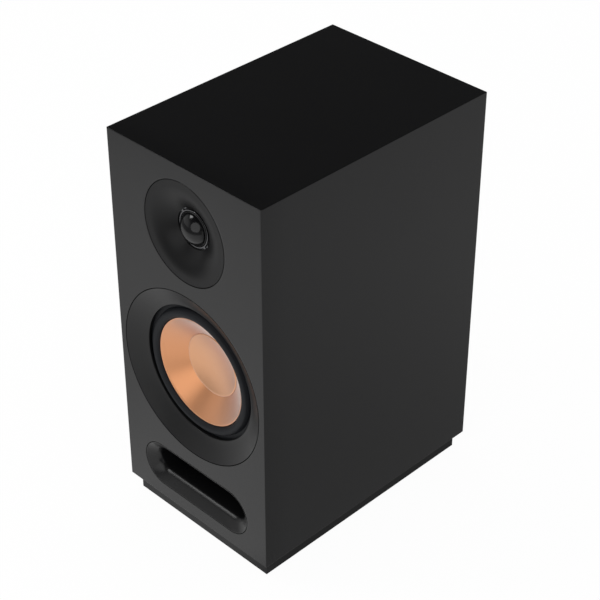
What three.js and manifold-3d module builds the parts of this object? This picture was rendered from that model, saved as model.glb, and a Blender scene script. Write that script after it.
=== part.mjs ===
// Two-way bookshelf loudspeaker with a slot port, built as an assembly of separate pieces.
// Millimetres, +Z up. The baffle faces -Y and the terminals face +Y.
// The origin is on the floor, under the centre of the cabinet.
// Drive units are drawn in groups whose Y = 0 lies on the front face, so Y is the depth behind it.
import * as THREE from 'three';
import { mergeVertices } from 'three/addons/utils/BufferGeometryUtils.js';
import Module from 'manifold-3d';

const wasm = await Module();
wasm.setup();

// ---------------------------------------------------------------- driving dimensions

const fitGap = 0.3;               // between two round pieces that are assembled together
const cutOver = 1;                // how far a cutting tool runs past the body that it cuts

// Voice coil and motor of the woofer
const formerBore = 25;
const formerWall = 0.4;
const coilBuild = 0.8;            // radial thickness of the winding
const coilLength = 12;
const coilRunningGap = 0.6;
const topPlateDiameter = 72;
const topPlateThickness = 5;
const magnetDiameter = 80;
const magnetThickness = 15;
const magnetBoreStep = 2.2;       // magnet bore radius over the top plate's bore radius
const yokeDiameter = 74;
const yokeThickness = 5;
const wooferStroke = 4;           // each way from rest

// Diaphragm of the woofer
const coneDiameter = 91;
const coneAngle = 35;             // degrees between the cone's wall and the baffle's plane
const coneWall = 1.0;
const coneRise = 1.8;             // cone's edge in front of the surround's landing
const dustCapDiameter = 52;
const dustCapSag = 5;
const dustCapWall = 0.8;
const surroundWall = 0.8;
const rollRadius = 4.05;
const rollToCone = 0.35;
const landingWidth = 5.05;        // surround's flat rim beyond its roll
const surroundLip = 2.5;          // surround's inner rim glued behind the cone
const spiderWall = 0.8;
const spiderWaves = 3;
const spiderAmplitude = 1.6;
const spiderDrop = 4;             // from the cone's neck back to the spider's plane
const spiderCollar = 2;           // spider's flat ring round the former
const coneSideToLead = 2;         // inside the dust cap's edge, where the leads reach the cone

// Basket of the woofer
const basketWall = 2.5;
const basketFlange = 3;
const basketLip = 4;              // flange inside the barrel, which the surround sits on
const barrelLength = 4;
const ledgeWidth = 4.9;
const cupLength = 9;              // spider ledge to the basket's base
const basketBase = 3;
const basketBaseRim = 6.5;        // basket's base beyond the top plate
const baseBoreStep = 1.4;
const spokeCount = 8;
const spokeWidth = 8;
const gasketThickness = 1.0;

// Trim ring of the woofer
const trimWall = 2.0;
const trimLipDepth = 8.6;
const trimLipOverlap = 2.9;       // ring's inner lip over the surround's landing
const trimToSurround = 0.7;
const trimDishPower = 1.15;       // 1 would make the dish a plain cone

// Woofer screws
const wooferScrewCount = 4;
const screwHeadRadius = 3.6;
const screwTopRadius = 2.5;
const screwHeadHeight = 2.4;
const screwShankRadius = 1.75;
const wooferScrewLength = 16;

// Tweeter
const domeDiameter = 25;
const domeHeight = 8;
const domeWall = 0.4;
const domeRollRadius = 0.6;
const domeSurroundWall = 0.5;
const domeLandingWidth = 1.6;
const clampWidth = 0.9;
const clampThickness = 1.2;
const clampLugWidth = 2.4;
const throatClearance = 1.65;     // from the clamp ring to the waveguide's throat
const waveguideDepth = 9.5;
const waveguideLip = 2.6;         // throat's straight wall down to the top plate
const hornSpan = 20.3;            // throat to flat band, measured along the radius
const hornPower = 1.8;
const flatBand = 5;
const waveguideFlange = 4;
const waveguideSkirt = 2;         // body behind the flange, before its back tapers in
const waveguideSeatStep = 1;      // bore of the taper inside the top plate's edge
const tweeterCoilWall = 0.4;
const tweeterCoilLength = 5;
const tweeterRunningGap = 0.6;
const tweeterPlateDiameter = 64;
const tweeterPlateThickness = 3;
const tweeterMagnetDiameter = 60;
const tweeterMagnetThickness = 8;
const tweeterYokeThickness = 4;
const tweeterVentRadius = 3.5;
const chamberDiameter = 54;
const chamberDepth = 18;
const chamberWall = 2;
const tweeterCutoutGap = 3;       // baffle's opening round the tweeter's motor

// Slot port
const flareWidth = 118.2;
const flareHeight = 40.7;
const flareCorner = 17;
const flareSlopeInset = 8;
const flareSlopeDepth = 5.3;
const flareRoundInset = 2.2;
const flareRoundDepth = 4.2;
const flareRim = 0.5;
const flarePlate = 8;             // depth of the flare's wide front part
const portWall = 3;
const ductWall = 2.5;
const ductSocket = 15;            // flare's tail inside the duct
const ductLength = 110;

// Cabinet
const wallThickness = 15;
const basketSideClearance = 3.5;
const faceMargin = 5.7;           // trim ring to the cabinet's side
const baffleBehindRecess = 8.6;
const portMargin = 12.9;          // cabinet's bottom edge to the flare
const portToWoofer = 14.45;
const wooferToTweeter = 13.3;
const topMargin = 13.4;
const clearBehindDuct = 84;
const plinthHeight = 15.1;
const plinthInset = 6;
const braceDepth = 40;
const braceHeight = 18;
const braceFromBaffle = 60;
const waddingThickness = 30;
const waddingMargin = 3;

// Terminal cup
const cupOpeningWidth = 76;
const cupOpeningHeight = 46;
const cupCorner = 6;
const cupDepth = 24;
const cupWall = 2.5;
const cupFlangeWidth = 10;
const cupFlange = 3;
const cupAboveFloor = 75;
const terminalScrewLength = 13;

// Binding posts
const postSpacing = 32;
const studRadius = 3;
const plugBore = 2.05;
const plugBoreDepth = 16;
const postBaseRadius = 7;
const postBaseHeight = 3;
const washerHeight = 2;
const capRadius = 8;
const capLength = 13;
const capNearChamfer = 1;
const capFarChamfer = 1.5;
const studTailLength = 2;         // stud's end beyond the crossover board
const nutRadius = 5.2;
const nutHeight = 4;
const postTravel = 3;

// Crossover
const boardSideStep = 0.5;        // board's side inside the edge of the cup's flange
const boardThickness = 1.6;
const boardStandoff = 7;
const boardEdge = 3;              // bare edge round the filter's parts
const standoffRadius = 3.5;
const bigCoilRadius = 19;
const bigCoilBore = 9;
const bigCoilLength = 18;
const smallCoilRadius = 13;
const smallCoilBore = 6;
const smallCoilLength = 12;
const bigCapacitorRadius = 9;
const bigCapacitorLength = 34;
const smallCapacitorRadius = 7;
const smallCapacitorLength = 28;
const resistorLength = 25;
const resistorSide = 9;

// Wiring
const leadRadius = 0.6;
const leadSpacing = 14;
const stripWidth = 26;
const stripHeight = 15;
const stripThickness = 1.6;
const lugWidth = 2.5;
const lugHeight = 5;
const lugReach = 6;
const lugRoot = 0.5;              // lug's foot inside the strip
const lugLift = 4;                // strip's lower edge to the lug's centre
const leadFoot = 3.5;             // strip's lower edge to the lead's joint
const leadEndGap = 1.5;           // cone's back to the end of the lead's axis
const cableRadius = 1.8;
const cableEndGap = 1.3;          // board's face to the end of the cable's axis
const wooferCableX = 4;
const wooferCableDrop = 18;       // board's top edge down to the cable's joint
const wooferCableLift = 5;        // strip's lower edge up to the cable's end
const tweeterCableX = -8;
const tweeterCableDrop = 4;

// Bends of a lead or cable, as shares of the way from its start to its end in X, Y and Z
const tinselBends = [[0, 0.34, -0.08], [0, 0.61, -0.13], [0, 0.88, 0], [0, 0.945, 0.4], [0, 0.88, 0.83]];
const wooferCableBends = [[0, 0.14, 0.18], [1, 0.37, 0.97], [1, 0.7, 1.75], [1, 0.92, 1]];
const tweeterCableBends = [[0, 0.13, 0.07], [0, 0.24, 0.32], [0, 0.27, 0.71], [0.25, 0.45, 1], [1, 0.86, 1]];

// Facets round a full circle
const largeFacets = 32;
const mediumFacets = 20;
const smallFacets = 8;
const cornerSteps = 2;            // half the facets on each corner of a rounded rectangle
const nutSides = 6;
const cableSides = 8;
const leadSteps = 14;
const wooferCableSteps = 22;
const tweeterCableSteps = 30;

// ---------------------------------------------------------------- finishes

const blackVinyl = { color: 0x1c1c1f, roughness: 0.5, metalness: 0 };
const blackPlastic = { color: 0x17171a, roughness: 0.42, metalness: 0 };
const blackRubber = { color: 0x1d2026, roughness: 0.6, metalness: 0 };
const copper = { color: 0xc98a62, roughness: 0.32, metalness: 1 };
const blackDome = { color: 0x0b0b0d, roughness: 0.12, metalness: 0.4 };
const brightMetal = { color: 0xc4c4c6, roughness: 0.2, metalness: 1 };
const zincSteel = { color: 0x9a9c9e, roughness: 0.4, metalness: 1 };
const ferrite = { color: 0x2b2b2d, roughness: 0.8, metalness: 0 };
const castBasket = { color: 0x202124, roughness: 0.55, metalness: 0.6 };
const enamelledCopper = { color: 0xa8522a, roughness: 0.35, metalness: 1 };
const kapton = { color: 0xb06a25, roughness: 0.4, metalness: 0 };
const spiderCloth = { color: 0xc9a45c, roughness: 0.9, metalness: 0 };
const foamBlack = { color: 0x222222, roughness: 0.95, metalness: 0 };
const whiteWadding = { color: 0xd8d6cf, roughness: 1, metalness: 0 };
const rawFibreboard = { color: 0x9b7a55, roughness: 0.9, metalness: 0 };
const greenBoard = { color: 0x1f5a38, roughness: 0.5, metalness: 0 };
const brownBoard = { color: 0x8a5a30, roughness: 0.6, metalness: 0 };
const capacitorBlue = { color: 0x2b4f86, roughness: 0.4, metalness: 0 };
const capacitorAmber = { color: 0xc58a2a, roughness: 0.35, metalness: 0 };
const whiteCeramic = { color: 0xdcdad2, roughness: 0.7, metalness: 0 };
const goldPlate = { color: 0xd9b04a, roughness: 0.25, metalness: 1 };
const redPlastic = { color: 0xa31515, roughness: 0.35, metalness: 0 };
const braidedCopper = { color: 0xb5703c, roughness: 0.5, metalness: 1 };
const cableSheath = { color: 0x30343a, roughness: 0.5, metalness: 0 };

// ---------------------------------------------------------------- shape tools

// A mesh with its node's name and its own material.
function piece(name, geometry, finish) {
  const mesh = new THREE.Mesh(geometry, new THREE.MeshStandardMaterial(finish));
  mesh.name = name;
  return mesh;
}

// Turns [radius, depth] points round the Y axis. The outline either closes on itself
// or starts and ends on the axis.
function turned(outline, facets) {
  const points = outline.map(([radius, depth]) => new THREE.Vector2(radius, depth));
  const onAxis = points[0].x === 0 && points[points.length - 1].x === 0;
  if (THREE.ShapeUtils.isClockWise(points)) {
    points.reverse();
  }
  if (!onAxis) {
    points.push(points[0].clone());
  }
  return new THREE.LatheGeometry(points, facets);
}

function disc(radius, front, back, facets) {
  return turned([[0, front], [radius, front], [radius, back], [0, back]], facets);
}

function washer(bore, radius, front, back, facets) {
  return turned([[bore, front], [radius, front], [radius, back], [bore, back]], facets);
}

// A block given by its centre in X and Z and its span in depth.
function block(width, front, back, height, x = 0, z = 0) {
  return new THREE.BoxGeometry(width, back - front, height).translate(x, (front + back) / 2, z);
}

// A shape drawn in X and Z, carried along Y from front to back.
function carried(shape, front, back, curveSegments = cornerSteps) {
  const options = { depth: back - front, bevelEnabled: false, curveSegments };
  return new THREE.ExtrudeGeometry(shape, options).rotateX(Math.PI / 2).translate(0, back, 0);
}

function roundedRectangle(width, height, corner) {
  const x = width / 2 - corner;
  const z = height / 2 - corner;
  const shape = new THREE.Shape();
  shape.absarc(x, -z, corner, -Math.PI / 2, 0);
  shape.absarc(x, z, corner, 0, Math.PI / 2);
  shape.absarc(-x, z, corner, Math.PI / 2, Math.PI);
  shape.absarc(-x, -z, corner, Math.PI, Math.PI * 1.5);
  shape.closePath();
  return shape;
}

// A closed skin through rings of equal point count; each section is [points, depth].
function lofted(sections) {
  const count = sections[0][0].length;
  const vertices = [];
  const triangles = [];
  for (const [points, depth] of sections) {
    for (const point of points) {
      vertices.push(point.x, depth, point.y);
    }
  }
  for (let level = 0; level + 1 < sections.length; level += 1) {
    for (let i = 0; i < count; i += 1) {
      const near = level * count + i;
      const next = level * count + (i + 1) % count;
      triangles.push(near, near + count, next + count, near, next + count, next);
    }
  }
  const lastRing = (sections.length - 1) * count;
  for (const [a, b, c] of THREE.ShapeUtils.triangulateShape(sections[0][0], [])) {
    triangles.push(a, b, c, lastRing + c, lastRing + b, lastRing + a);
  }
  const geometry = new THREE.BufferGeometry();
  geometry.setAttribute('position', new THREE.Float32BufferAttribute(vertices, 3));
  geometry.setIndex(triangles);
  return geometry;
}

// A round tube along a smooth curve from start to end through the bends between them.
function cable(start, end, bends, radius, steps) {
  const from = new THREE.Vector3(...start);
  const way = new THREE.Vector3(...end).sub(from);
  const points = [[0, 0, 0], ...bends, [1, 1, 1]].map((shares) => (
    new THREE.Vector3(...shares).multiply(way).add(from)));
  const section = new THREE.Shape();
  section.absarc(0, 0, radius, 0, Math.PI * 2);
  const extrudePath = new THREE.CatmullRomCurve3(points);
  return new THREE.ExtrudeGeometry(section, { extrudePath, steps, curveSegments: cableSides / 2 });
}

// Three.js geometry as a solid that can be cut and joined.
function solid(geometry) {
  const bare = new THREE.BufferGeometry();
  bare.setAttribute('position', geometry.getAttribute('position').clone());
  bare.setIndex(geometry.getIndex());
  const merged = mergeVertices(bare, 1e-4);
  const corners = merged.getIndex().array;
  const kept = [];
  for (let i = 0; i < corners.length; i += 3) {
    const [a, b, c] = [corners[i], corners[i + 1], corners[i + 2]];
    if (a !== b && b !== c && c !== a) {
      kept.push(a, b, c);
    }
  }
  return new wasm.Manifold(new wasm.Mesh({
    numProp: 3,
    vertProperties: new Float32Array(merged.getAttribute('position').array),
    triVerts: new Uint32Array(kept),
  }));
}

function shapeOf(manifold) {
  const mesh = manifold.getMesh();
  const geometry = new THREE.BufferGeometry();
  geometry.setAttribute('position', new THREE.BufferAttribute(mesh.vertProperties, 3));
  geometry.setIndex(new THREE.BufferAttribute(mesh.triVerts, 1));
  return geometry;
}

// The first geometry with the tools taken away.
function cut(geometry, tools) {
  return shapeOf(tools.reduce((body, tool) => body.subtract(solid(tool)), solid(geometry)));
}

function joined(geometries) {
  return shapeOf(geometries.map(solid).reduce((body, other) => body.add(other)));
}

function radians(degrees) {
  return THREE.MathUtils.degToRad(degrees);
}

// Points [x, z] evenly round a circle, the first one at the given angle from +X.
function circlePoints(count, radius, firstAngle) {
  return Array.from({ length: count }, (_, i) => {
    const angle = firstAngle + (i * Math.PI * 2) / count;
    return [radius * Math.cos(angle), radius * Math.sin(angle)];
  });
}

// ---------------------------------------------------------------- woofer: worked-out sizes

const formerRadius = formerBore / 2 + formerWall;
const coilRadius = formerRadius + fitGap + coilBuild;
const plateBore = coilRadius + coilRunningGap;
const magnetBore = plateBore + magnetBoreStep;
const poleRadius = formerBore / 2 - fitGap;

const coneRadius = coneDiameter / 2;
const coneNeck = formerRadius + fitGap;
const rollCentre = coneRadius + rollToCone + rollRadius;
const landingRadius = rollCentre + rollRadius + landingWidth;
const barrelRadius = landingRadius + basketWall;

const landingDepth = trimLipDepth + trimWall + trimToSurround;
const flangeFront = landingDepth + surroundWall + fitGap;
const flangeBack = flangeFront + basketFlange;
const wooferRecess = flangeBack + gasketThickness;

const coneEdgeDepth = landingDepth - coneRise;
const coneAxialWall = coneWall / Math.cos(radians(coneAngle));
const coneDepthAt = (radius) => coneEdgeDepth + (coneRadius - radius) * Math.tan(radians(coneAngle));
const neckDepth = coneDepthAt(coneNeck);
const spiderPlane = neckDepth + coneAxialWall + spiderDrop;
const ledgeDepth = spiderPlane + spiderWall / 2 + fitGap;
const baseFront = ledgeDepth + cupLength;
const plateFront = baseFront + basketBase;
const plateBack = plateFront + topPlateThickness;
const coilFront = (plateFront + plateBack - coilLength) / 2;
const coilBack = coilFront + coilLength;
const formerBack = coilBack + fitGap;
const yokeFront = Math.max(plateBack + magnetThickness, formerBack + wooferStroke + fitGap);
const yokeBack = yokeFront + yokeThickness;

const topPlateRadius = topPlateDiameter / 2;
const basketBaseRadius = topPlateRadius + basketBaseRim;
const spiderLedgeBore = basketBaseRadius - basketWall;
const ledgeRadius = spiderLedgeBore + ledgeWidth;

// ---------------------------------------------------------------- cabinet: worked-out sizes

const cabinetWidth = 2 * (barrelRadius + basketSideClearance + wallThickness);
const trimRadius = cabinetWidth / 2 - faceMargin;
const basketFlangeRadius = trimRadius - trimWall - fitGap;
const wooferScrewCircle = (barrelRadius + basketFlangeRadius) / 2;

const domeRadius = domeDiameter / 2;
const domeRollCentre = domeRadius + fitGap + domeRollRadius;
const domeLandingRadius = domeRollCentre + domeRollRadius + domeLandingWidth;
const clampBore = domeRollCentre + domeRollRadius + fitGap / 2;
const clampRadius = clampBore + clampWidth;
const throatRadius = clampRadius + throatClearance;
const tweeterFlangeRadius = throatRadius + hornSpan + flatBand;

const baffleThickness = wooferRecess + baffleBehindRecess;
const portHeight = portMargin + flareHeight / 2;
const wooferHeight = portMargin + flareHeight + portToWoofer + trimRadius;
const tweeterHeight = wooferHeight + trimRadius + wooferToTweeter + tweeterFlangeRadius;
const cabinetHeight = tweeterHeight + tweeterFlangeRadius + topMargin;
const cabinetDepth = baffleThickness + ductLength + clearBehindDuct + wallThickness;
const frontFace = -cabinetDepth / 2;
const rearFace = cabinetDepth / 2;
const cabinetBottom = plinthHeight;
const cabinetTop = cabinetBottom + cabinetHeight;
const terminalHeight = wallThickness + cupAboveFloor;

// ---------------------------------------------------------------- woofer

// Dished ring that covers the basket's flange: a shallow bowl with a skirt round it.
function wooferTrimRing() {
  const lipRadius = landingRadius - trimLipOverlap;
  const steps = 5;
  const face = [];
  const back = [];
  for (let i = 0; i <= steps; i += 1) {
    const along = i / steps;
    const radius = THREE.MathUtils.lerp(trimRadius, lipRadius, along);
    const depth = trimLipDepth * (1 - (1 - along) ** trimDishPower);
    face.push([radius, depth]);
    back.push([Math.min(radius, trimRadius - trimWall), depth + trimWall]);
  }
  const skirt = [[trimRadius - trimWall, wooferRecess], [trimRadius, wooferRecess]];
  const outline = [...face, ...back.reverse(), ...skirt];
  return piece('woofer_trim_ring', turned(outline, largeFacets), blackPlastic);
}

// Cast frame: flange, barrel, conical wall cut into spokes, spider ledge and base.
function wooferBasket() {
  const lipBore = landingRadius - basketLip;
  const barrelBack = flangeBack + barrelLength;
  const frame = turned([
    [basketFlangeRadius, flangeFront],
    [basketFlangeRadius, flangeBack],
    [barrelRadius, flangeBack],
    [barrelRadius, barrelBack],
    [ledgeRadius + basketWall, ledgeDepth + basketWall],
    [basketBaseRadius, ledgeDepth + basketWall],
    [basketBaseRadius, plateFront],
    [plateBore + baseBoreStep, plateFront],
    [plateBore + baseBoreStep, baseFront],
    [spiderLedgeBore, baseFront],
    [spiderLedgeBore, ledgeDepth],
    [ledgeRadius, ledgeDepth],
    [landingRadius, barrelBack],
    [landingRadius, flangeBack],
    [lipBore, flangeBack],
    [lipBore, flangeFront],
  ], largeFacets);
  const windowInner = ledgeRadius + basketWall + fitGap;
  const windowOuter = landingRadius - fitGap;
  const halfAngle = Math.PI / spokeCount - Math.asin(spokeWidth / (windowInner + windowOuter));
  const windowShape = new THREE.Shape();
  windowShape.absarc(0, 0, windowOuter, -halfAngle, halfAngle);
  windowShape.absarc(0, 0, windowInner, halfAngle, -halfAngle, true);
  windowShape.closePath();
  const windows = circlePoints(spokeCount, 1, 0).map(([x, z]) => {
    const tool = carried(windowShape, flangeBack + fitGap, ledgeDepth + 2 * basketWall, 2);
    return tool.rotateY(-Math.atan2(z, x));
  });
  const screwHoles = wooferScrewPlaces().map(([x, z]) => (
    disc(screwShankRadius + fitGap, 0, wooferRecess, smallFacets).translate(x, 0, z)));
  return piece('woofer_basket', cut(frame, [...windows, ...screwHoles]), castBasket);
}

function wooferScrewPlaces() {
  return circlePoints(wooferScrewCount, wooferScrewCircle, Math.PI / 4);
}

function wooferGasket() {
  const ring = washer(barrelRadius + fitGap, basketFlangeRadius, flangeBack, wooferRecess, largeFacets);
  const holes = wooferScrewPlaces().map(([x, z]) => (
    disc(screwShankRadius + fitGap, 0, baffleThickness, smallFacets).translate(x, 0, z)));
  return piece('woofer_gasket', cut(ring, holes), foamBlack);
}

function wooferScrews() {
  const tip = flangeFront + wooferScrewLength;
  const outline = [
    [0, flangeFront - screwHeadHeight],
    [screwTopRadius, flangeFront - screwHeadHeight],
    [screwHeadRadius, flangeFront - screwHeadHeight / 2],
    [screwHeadRadius, flangeFront],
    [screwShankRadius, flangeFront],
    [screwShankRadius, tip - 2 * screwShankRadius],
    [0, tip],
  ];
  return wooferScrewPlaces().map(([x, z], i) => {
    const screw = piece(`woofer_screw_${i + 1}`, turned(outline, smallFacets), zincSteel);
    screw.position.set(x, 0, z);
    return screw;
  });
}

// Half-roll between a flat outer landing and a lip glued behind the cone's edge.
function wooferSurround() {
  const arcSteps = 6;
  const crown = [];
  const hollow = [];
  for (let i = 0; i <= arcSteps; i += 1) {
    const angle = Math.PI * (1 - i / arcSteps);
    const inner = rollRadius - surroundWall;
    crown.push([rollCentre + rollRadius * Math.cos(angle), landingDepth - rollRadius * Math.sin(angle)]);
    hollow.push([rollCentre + inner * Math.cos(angle), landingDepth - inner * Math.sin(angle)]);
  }
  const lipRadius = coneRadius - surroundLip;
  const lipDepth = coneDepthAt(lipRadius) + coneAxialWall + fitGap;
  const outline = [
    ...crown,
    [landingRadius, landingDepth],
    [landingRadius, landingDepth + surroundWall],
    [rollCentre + rollRadius - surroundWall, landingDepth + surroundWall],
    ...hollow.reverse(),
    [rollCentre - rollRadius + surroundWall, landingDepth + surroundWall],
    [lipRadius, lipDepth + surroundWall],
    [lipRadius, lipDepth],
  ];
  return piece('woofer_surround', turned(outline, largeFacets), blackRubber);
}

function wooferCone() {
  const outline = [
    [coneRadius, coneEdgeDepth],
    [coneRadius, coneEdgeDepth + coneAxialWall],
    [coneNeck, neckDepth + coneAxialWall],
    [coneNeck, neckDepth],
  ];
  return piece('woofer_cone', turned(outline, largeFacets), copper);
}

// Inverted cap, deepest at its centre, whose edge sits on the cone.
function wooferDustCap() {
  const radius = dustCapDiameter / 2;
  const edge = coneDepthAt(radius) - fitGap - dustCapWall;
  const steps = 4;
  const face = [];
  for (let i = 0; i <= steps; i += 1) {
    const share = i / steps;
    face.push([radius * share, edge + dustCapSag * (1 - share ** 2)]);
  }
  const back = face.map(([r, depth]) => [r, depth + dustCapWall]).reverse();
  return piece('woofer_dust_cap', turned([...face, ...back], largeFacets), copper);
}

function wooferFormer() {
  const front = neckDepth - fitGap;
  const tube = washer(formerBore / 2, formerRadius, front, formerBack, mediumFacets);
  return piece('woofer_former', tube, kapton);
}

function wooferVoiceCoil() {
  const winding = washer(formerRadius + fitGap, coilRadius, coilFront, coilBack, mediumFacets);
  return piece('woofer_voice_coil', winding, enamelledCopper);
}

// Corrugated disc between the former and the basket's ledge.
function wooferSpider() {
  const innerFlat = coneNeck + spiderCollar;
  const outerFlat = spiderLedgeBore;
  const steps = spiderWaves * 3;
  const middle = [[coneNeck, spiderPlane], [innerFlat, spiderPlane]];
  for (let i = 1; i < steps; i += 1) {
    const radius = THREE.MathUtils.lerp(innerFlat, outerFlat, i / steps);
    const wave = spiderAmplitude * Math.sin((Math.PI * 2 * spiderWaves * i) / steps);
    middle.push([radius, spiderPlane - wave]);
  }
  middle.push([outerFlat, spiderPlane], [ledgeRadius - fitGap, spiderPlane]);
  const front = middle.map(([radius, depth]) => [radius, depth - spiderWall / 2]);
  const back = middle.map(([radius, depth]) => [radius, depth + spiderWall / 2]).reverse();
  return piece('woofer_spider', turned([...front, ...back], mediumFacets), spiderCloth);
}

function wooferMotor() {
  const plate = washer(plateBore, topPlateRadius, plateFront, plateBack, mediumFacets);
  const magnet = washer(magnetBore, magnetDiameter / 2, plateBack, yokeFront, mediumFacets);
  const yoke = turned([
    [0, plateFront],
    [poleRadius, plateFront],
    [poleRadius, yokeFront],
    [yokeDiameter / 2, yokeFront],
    [yokeDiameter / 2, yokeBack],
    [0, yokeBack],
  ], mediumFacets);
  return [
    piece('woofer_top_plate', plate, zincSteel),
    piece('woofer_magnet', magnet, ferrite),
    piece('woofer_yoke', yoke, zincSteel),
  ];
}

// Small board under the basket's base, with a lug for each of the coil's leads.
function wooferTerminalStrip() {
  const top = -(topPlateRadius + fitGap);
  const centre = top - stripHeight / 2;
  const stripBack = plateFront + stripThickness;
  const lugs = [-1, 1].map((side) => (
    block(lugWidth, stripBack - lugRoot, stripBack + lugReach, lugHeight,
      side * leadSpacing / 2, top - stripHeight + lugLift)));
  const board = block(stripWidth, plateFront, stripBack, stripHeight, 0, centre);
  return piece('woofer_terminal_strip', joined([board, ...lugs]), brownBoard);
}

// Flexible leads from the strip, through a window of the basket, to the back of the cone.
function wooferTinselLeads() {
  const footZ = leadFoot - (topPlateRadius + fitGap + stripHeight);
  const coneSide = dustCapDiameter / 2 - coneSideToLead;
  const endDepth = coneDepthAt(coneSide) + coneAxialWall + leadEndGap;
  return [-1, 1].map((side, i) => {
    const x = side * leadSpacing / 2;
    const lead = cable([x, plateFront - fitGap, footZ], [x, endDepth, -coneSide], tinselBends,
      leadRadius, leadSteps);
    return piece(`woofer_tinsel_lead_${i + 1}`, lead, braidedCopper);
  });
}

function buildWoofer() {
  const group = new THREE.Group();
  group.position.set(0, frontFace, cabinetBottom + wooferHeight);
  group.add(
    wooferTrimRing(), wooferBasket(), wooferGasket(), ...wooferScrews(), wooferSurround(),
    wooferCone(), wooferDustCap(), wooferFormer(), wooferVoiceCoil(), wooferSpider(),
    ...wooferMotor(), wooferTerminalStrip(), ...wooferTinselLeads(),
  );
  return group;
}

// ---------------------------------------------------------------- tweeter

const tweeterPlateFront = waveguideDepth + waveguideLip;
const domeLandingDepth = tweeterPlateFront - fitGap - domeSurroundWall;
const clampFront = domeLandingDepth - fitGap - clampThickness;
const tweeterPlateBack = tweeterPlateFront + tweeterPlateThickness;
const tweeterYokeFront = tweeterPlateBack + tweeterMagnetThickness;
const tweeterYokeBack = tweeterYokeFront + tweeterYokeThickness;
const tweeterCoilRadius = domeRadius - fitGap;
const tweeterPlateBore = tweeterCoilRadius + tweeterRunningGap;
const tweeterPoleRadius = tweeterCoilRadius - tweeterCoilWall - fitGap;
const tweeterPlateRadius = tweeterPlateDiameter / 2;
const tweeterBodyRadius = Math.max(tweeterPlateRadius, tweeterMagnetDiameter / 2);
const tweeterCutout = tweeterBodyRadius + tweeterCutoutGap;

// Face plate whose front curves in from a flat band to the throat.
function tweeterWaveguide() {
  const steps = 7;
  const horn = [];
  for (let i = 0; i <= steps; i += 1) {
    const radius = throatRadius + hornSpan * (1 - i / steps);
    horn.push([radius, waveguideDepth * (i / steps) ** hornPower]);
  }
  const outline = [
    [tweeterFlangeRadius, 0],
    ...horn,
    [throatRadius, tweeterPlateFront],
    [tweeterPlateRadius - waveguideSeatStep, tweeterPlateFront],
    [tweeterCutout - 2 * fitGap, waveguideFlange + waveguideSkirt],
    [tweeterCutout - 2 * fitGap, waveguideFlange],
    [tweeterFlangeRadius, waveguideFlange],
  ];
  return piece('tweeter_waveguide', turned(outline, largeFacets), blackPlastic);
}

// Bright ring that clamps the dome's surround, with two lugs on opposite sides.
function tweeterClampRing() {
  const back = clampFront + clampThickness;
  const ring = washer(clampBore, clampRadius, clampFront, back, mediumFacets);
  const reach = throatClearance - fitGap;
  const lug = () => block(reach + clampWidth / 2, clampFront, back, clampLugWidth,
    clampRadius + reach / 2 - clampWidth / 4, 0);
  const lugs = [135, -45].map((angle) => lug().rotateY(-radians(angle)));
  return piece('tweeter_clamp_ring', joined([ring, ...lugs]), brightMetal);
}

function tweeterDome() {
  const sphere = (domeRadius ** 2 + domeHeight ** 2) / (2 * domeHeight);
  const centre = domeLandingDepth - domeHeight + sphere;
  const steps = 5;
  const arc = (radius) => {
    const span = Math.acos((centre - domeLandingDepth) / radius);
    return Array.from({ length: steps + 1 }, (_, i) => {
      const angle = (span * i) / steps;
      return [radius * Math.sin(angle), centre - radius * Math.cos(angle)];
    });
  };
  const outline = [...arc(sphere), ...arc(sphere - domeWall).reverse()];
  return piece('tweeter_dome', turned(outline, mediumFacets), blackDome);
}

function tweeterDomeSurround() {
  const steps = 4;
  const inner = domeRollRadius - domeSurroundWall / 2;
  const crown = [];
  const hollow = [];
  for (let i = 0; i <= steps; i += 1) {
    const angle = Math.PI * (1 - i / steps);
    crown.push([domeRollCentre + domeRollRadius * Math.cos(angle),
      domeLandingDepth - domeRollRadius * Math.sin(angle)]);
    hollow.push([domeRollCentre + inner * Math.cos(angle),
      domeLandingDepth + domeSurroundWall / 2 - inner * Math.sin(angle)]);
  }
  const outline = [
    ...crown,
    [domeLandingRadius, domeLandingDepth],
    [domeLandingRadius, domeLandingDepth + domeSurroundWall],
    [domeRollCentre + inner, domeLandingDepth + domeSurroundWall],
    ...hollow.reverse(),
    [domeRollCentre - domeRollRadius, domeLandingDepth + domeSurroundWall / 2],
  ];
  return piece('tweeter_dome_surround', turned(outline, mediumFacets), blackRubber);
}

function tweeterVoiceCoil() {
  const front = domeLandingDepth + fitGap;
  const bore = tweeterCoilRadius - tweeterCoilWall;
  const tube = washer(bore, tweeterCoilRadius, front, front + tweeterCoilLength, mediumFacets);
  return piece('tweeter_voice_coil', tube, enamelledCopper);
}

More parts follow.
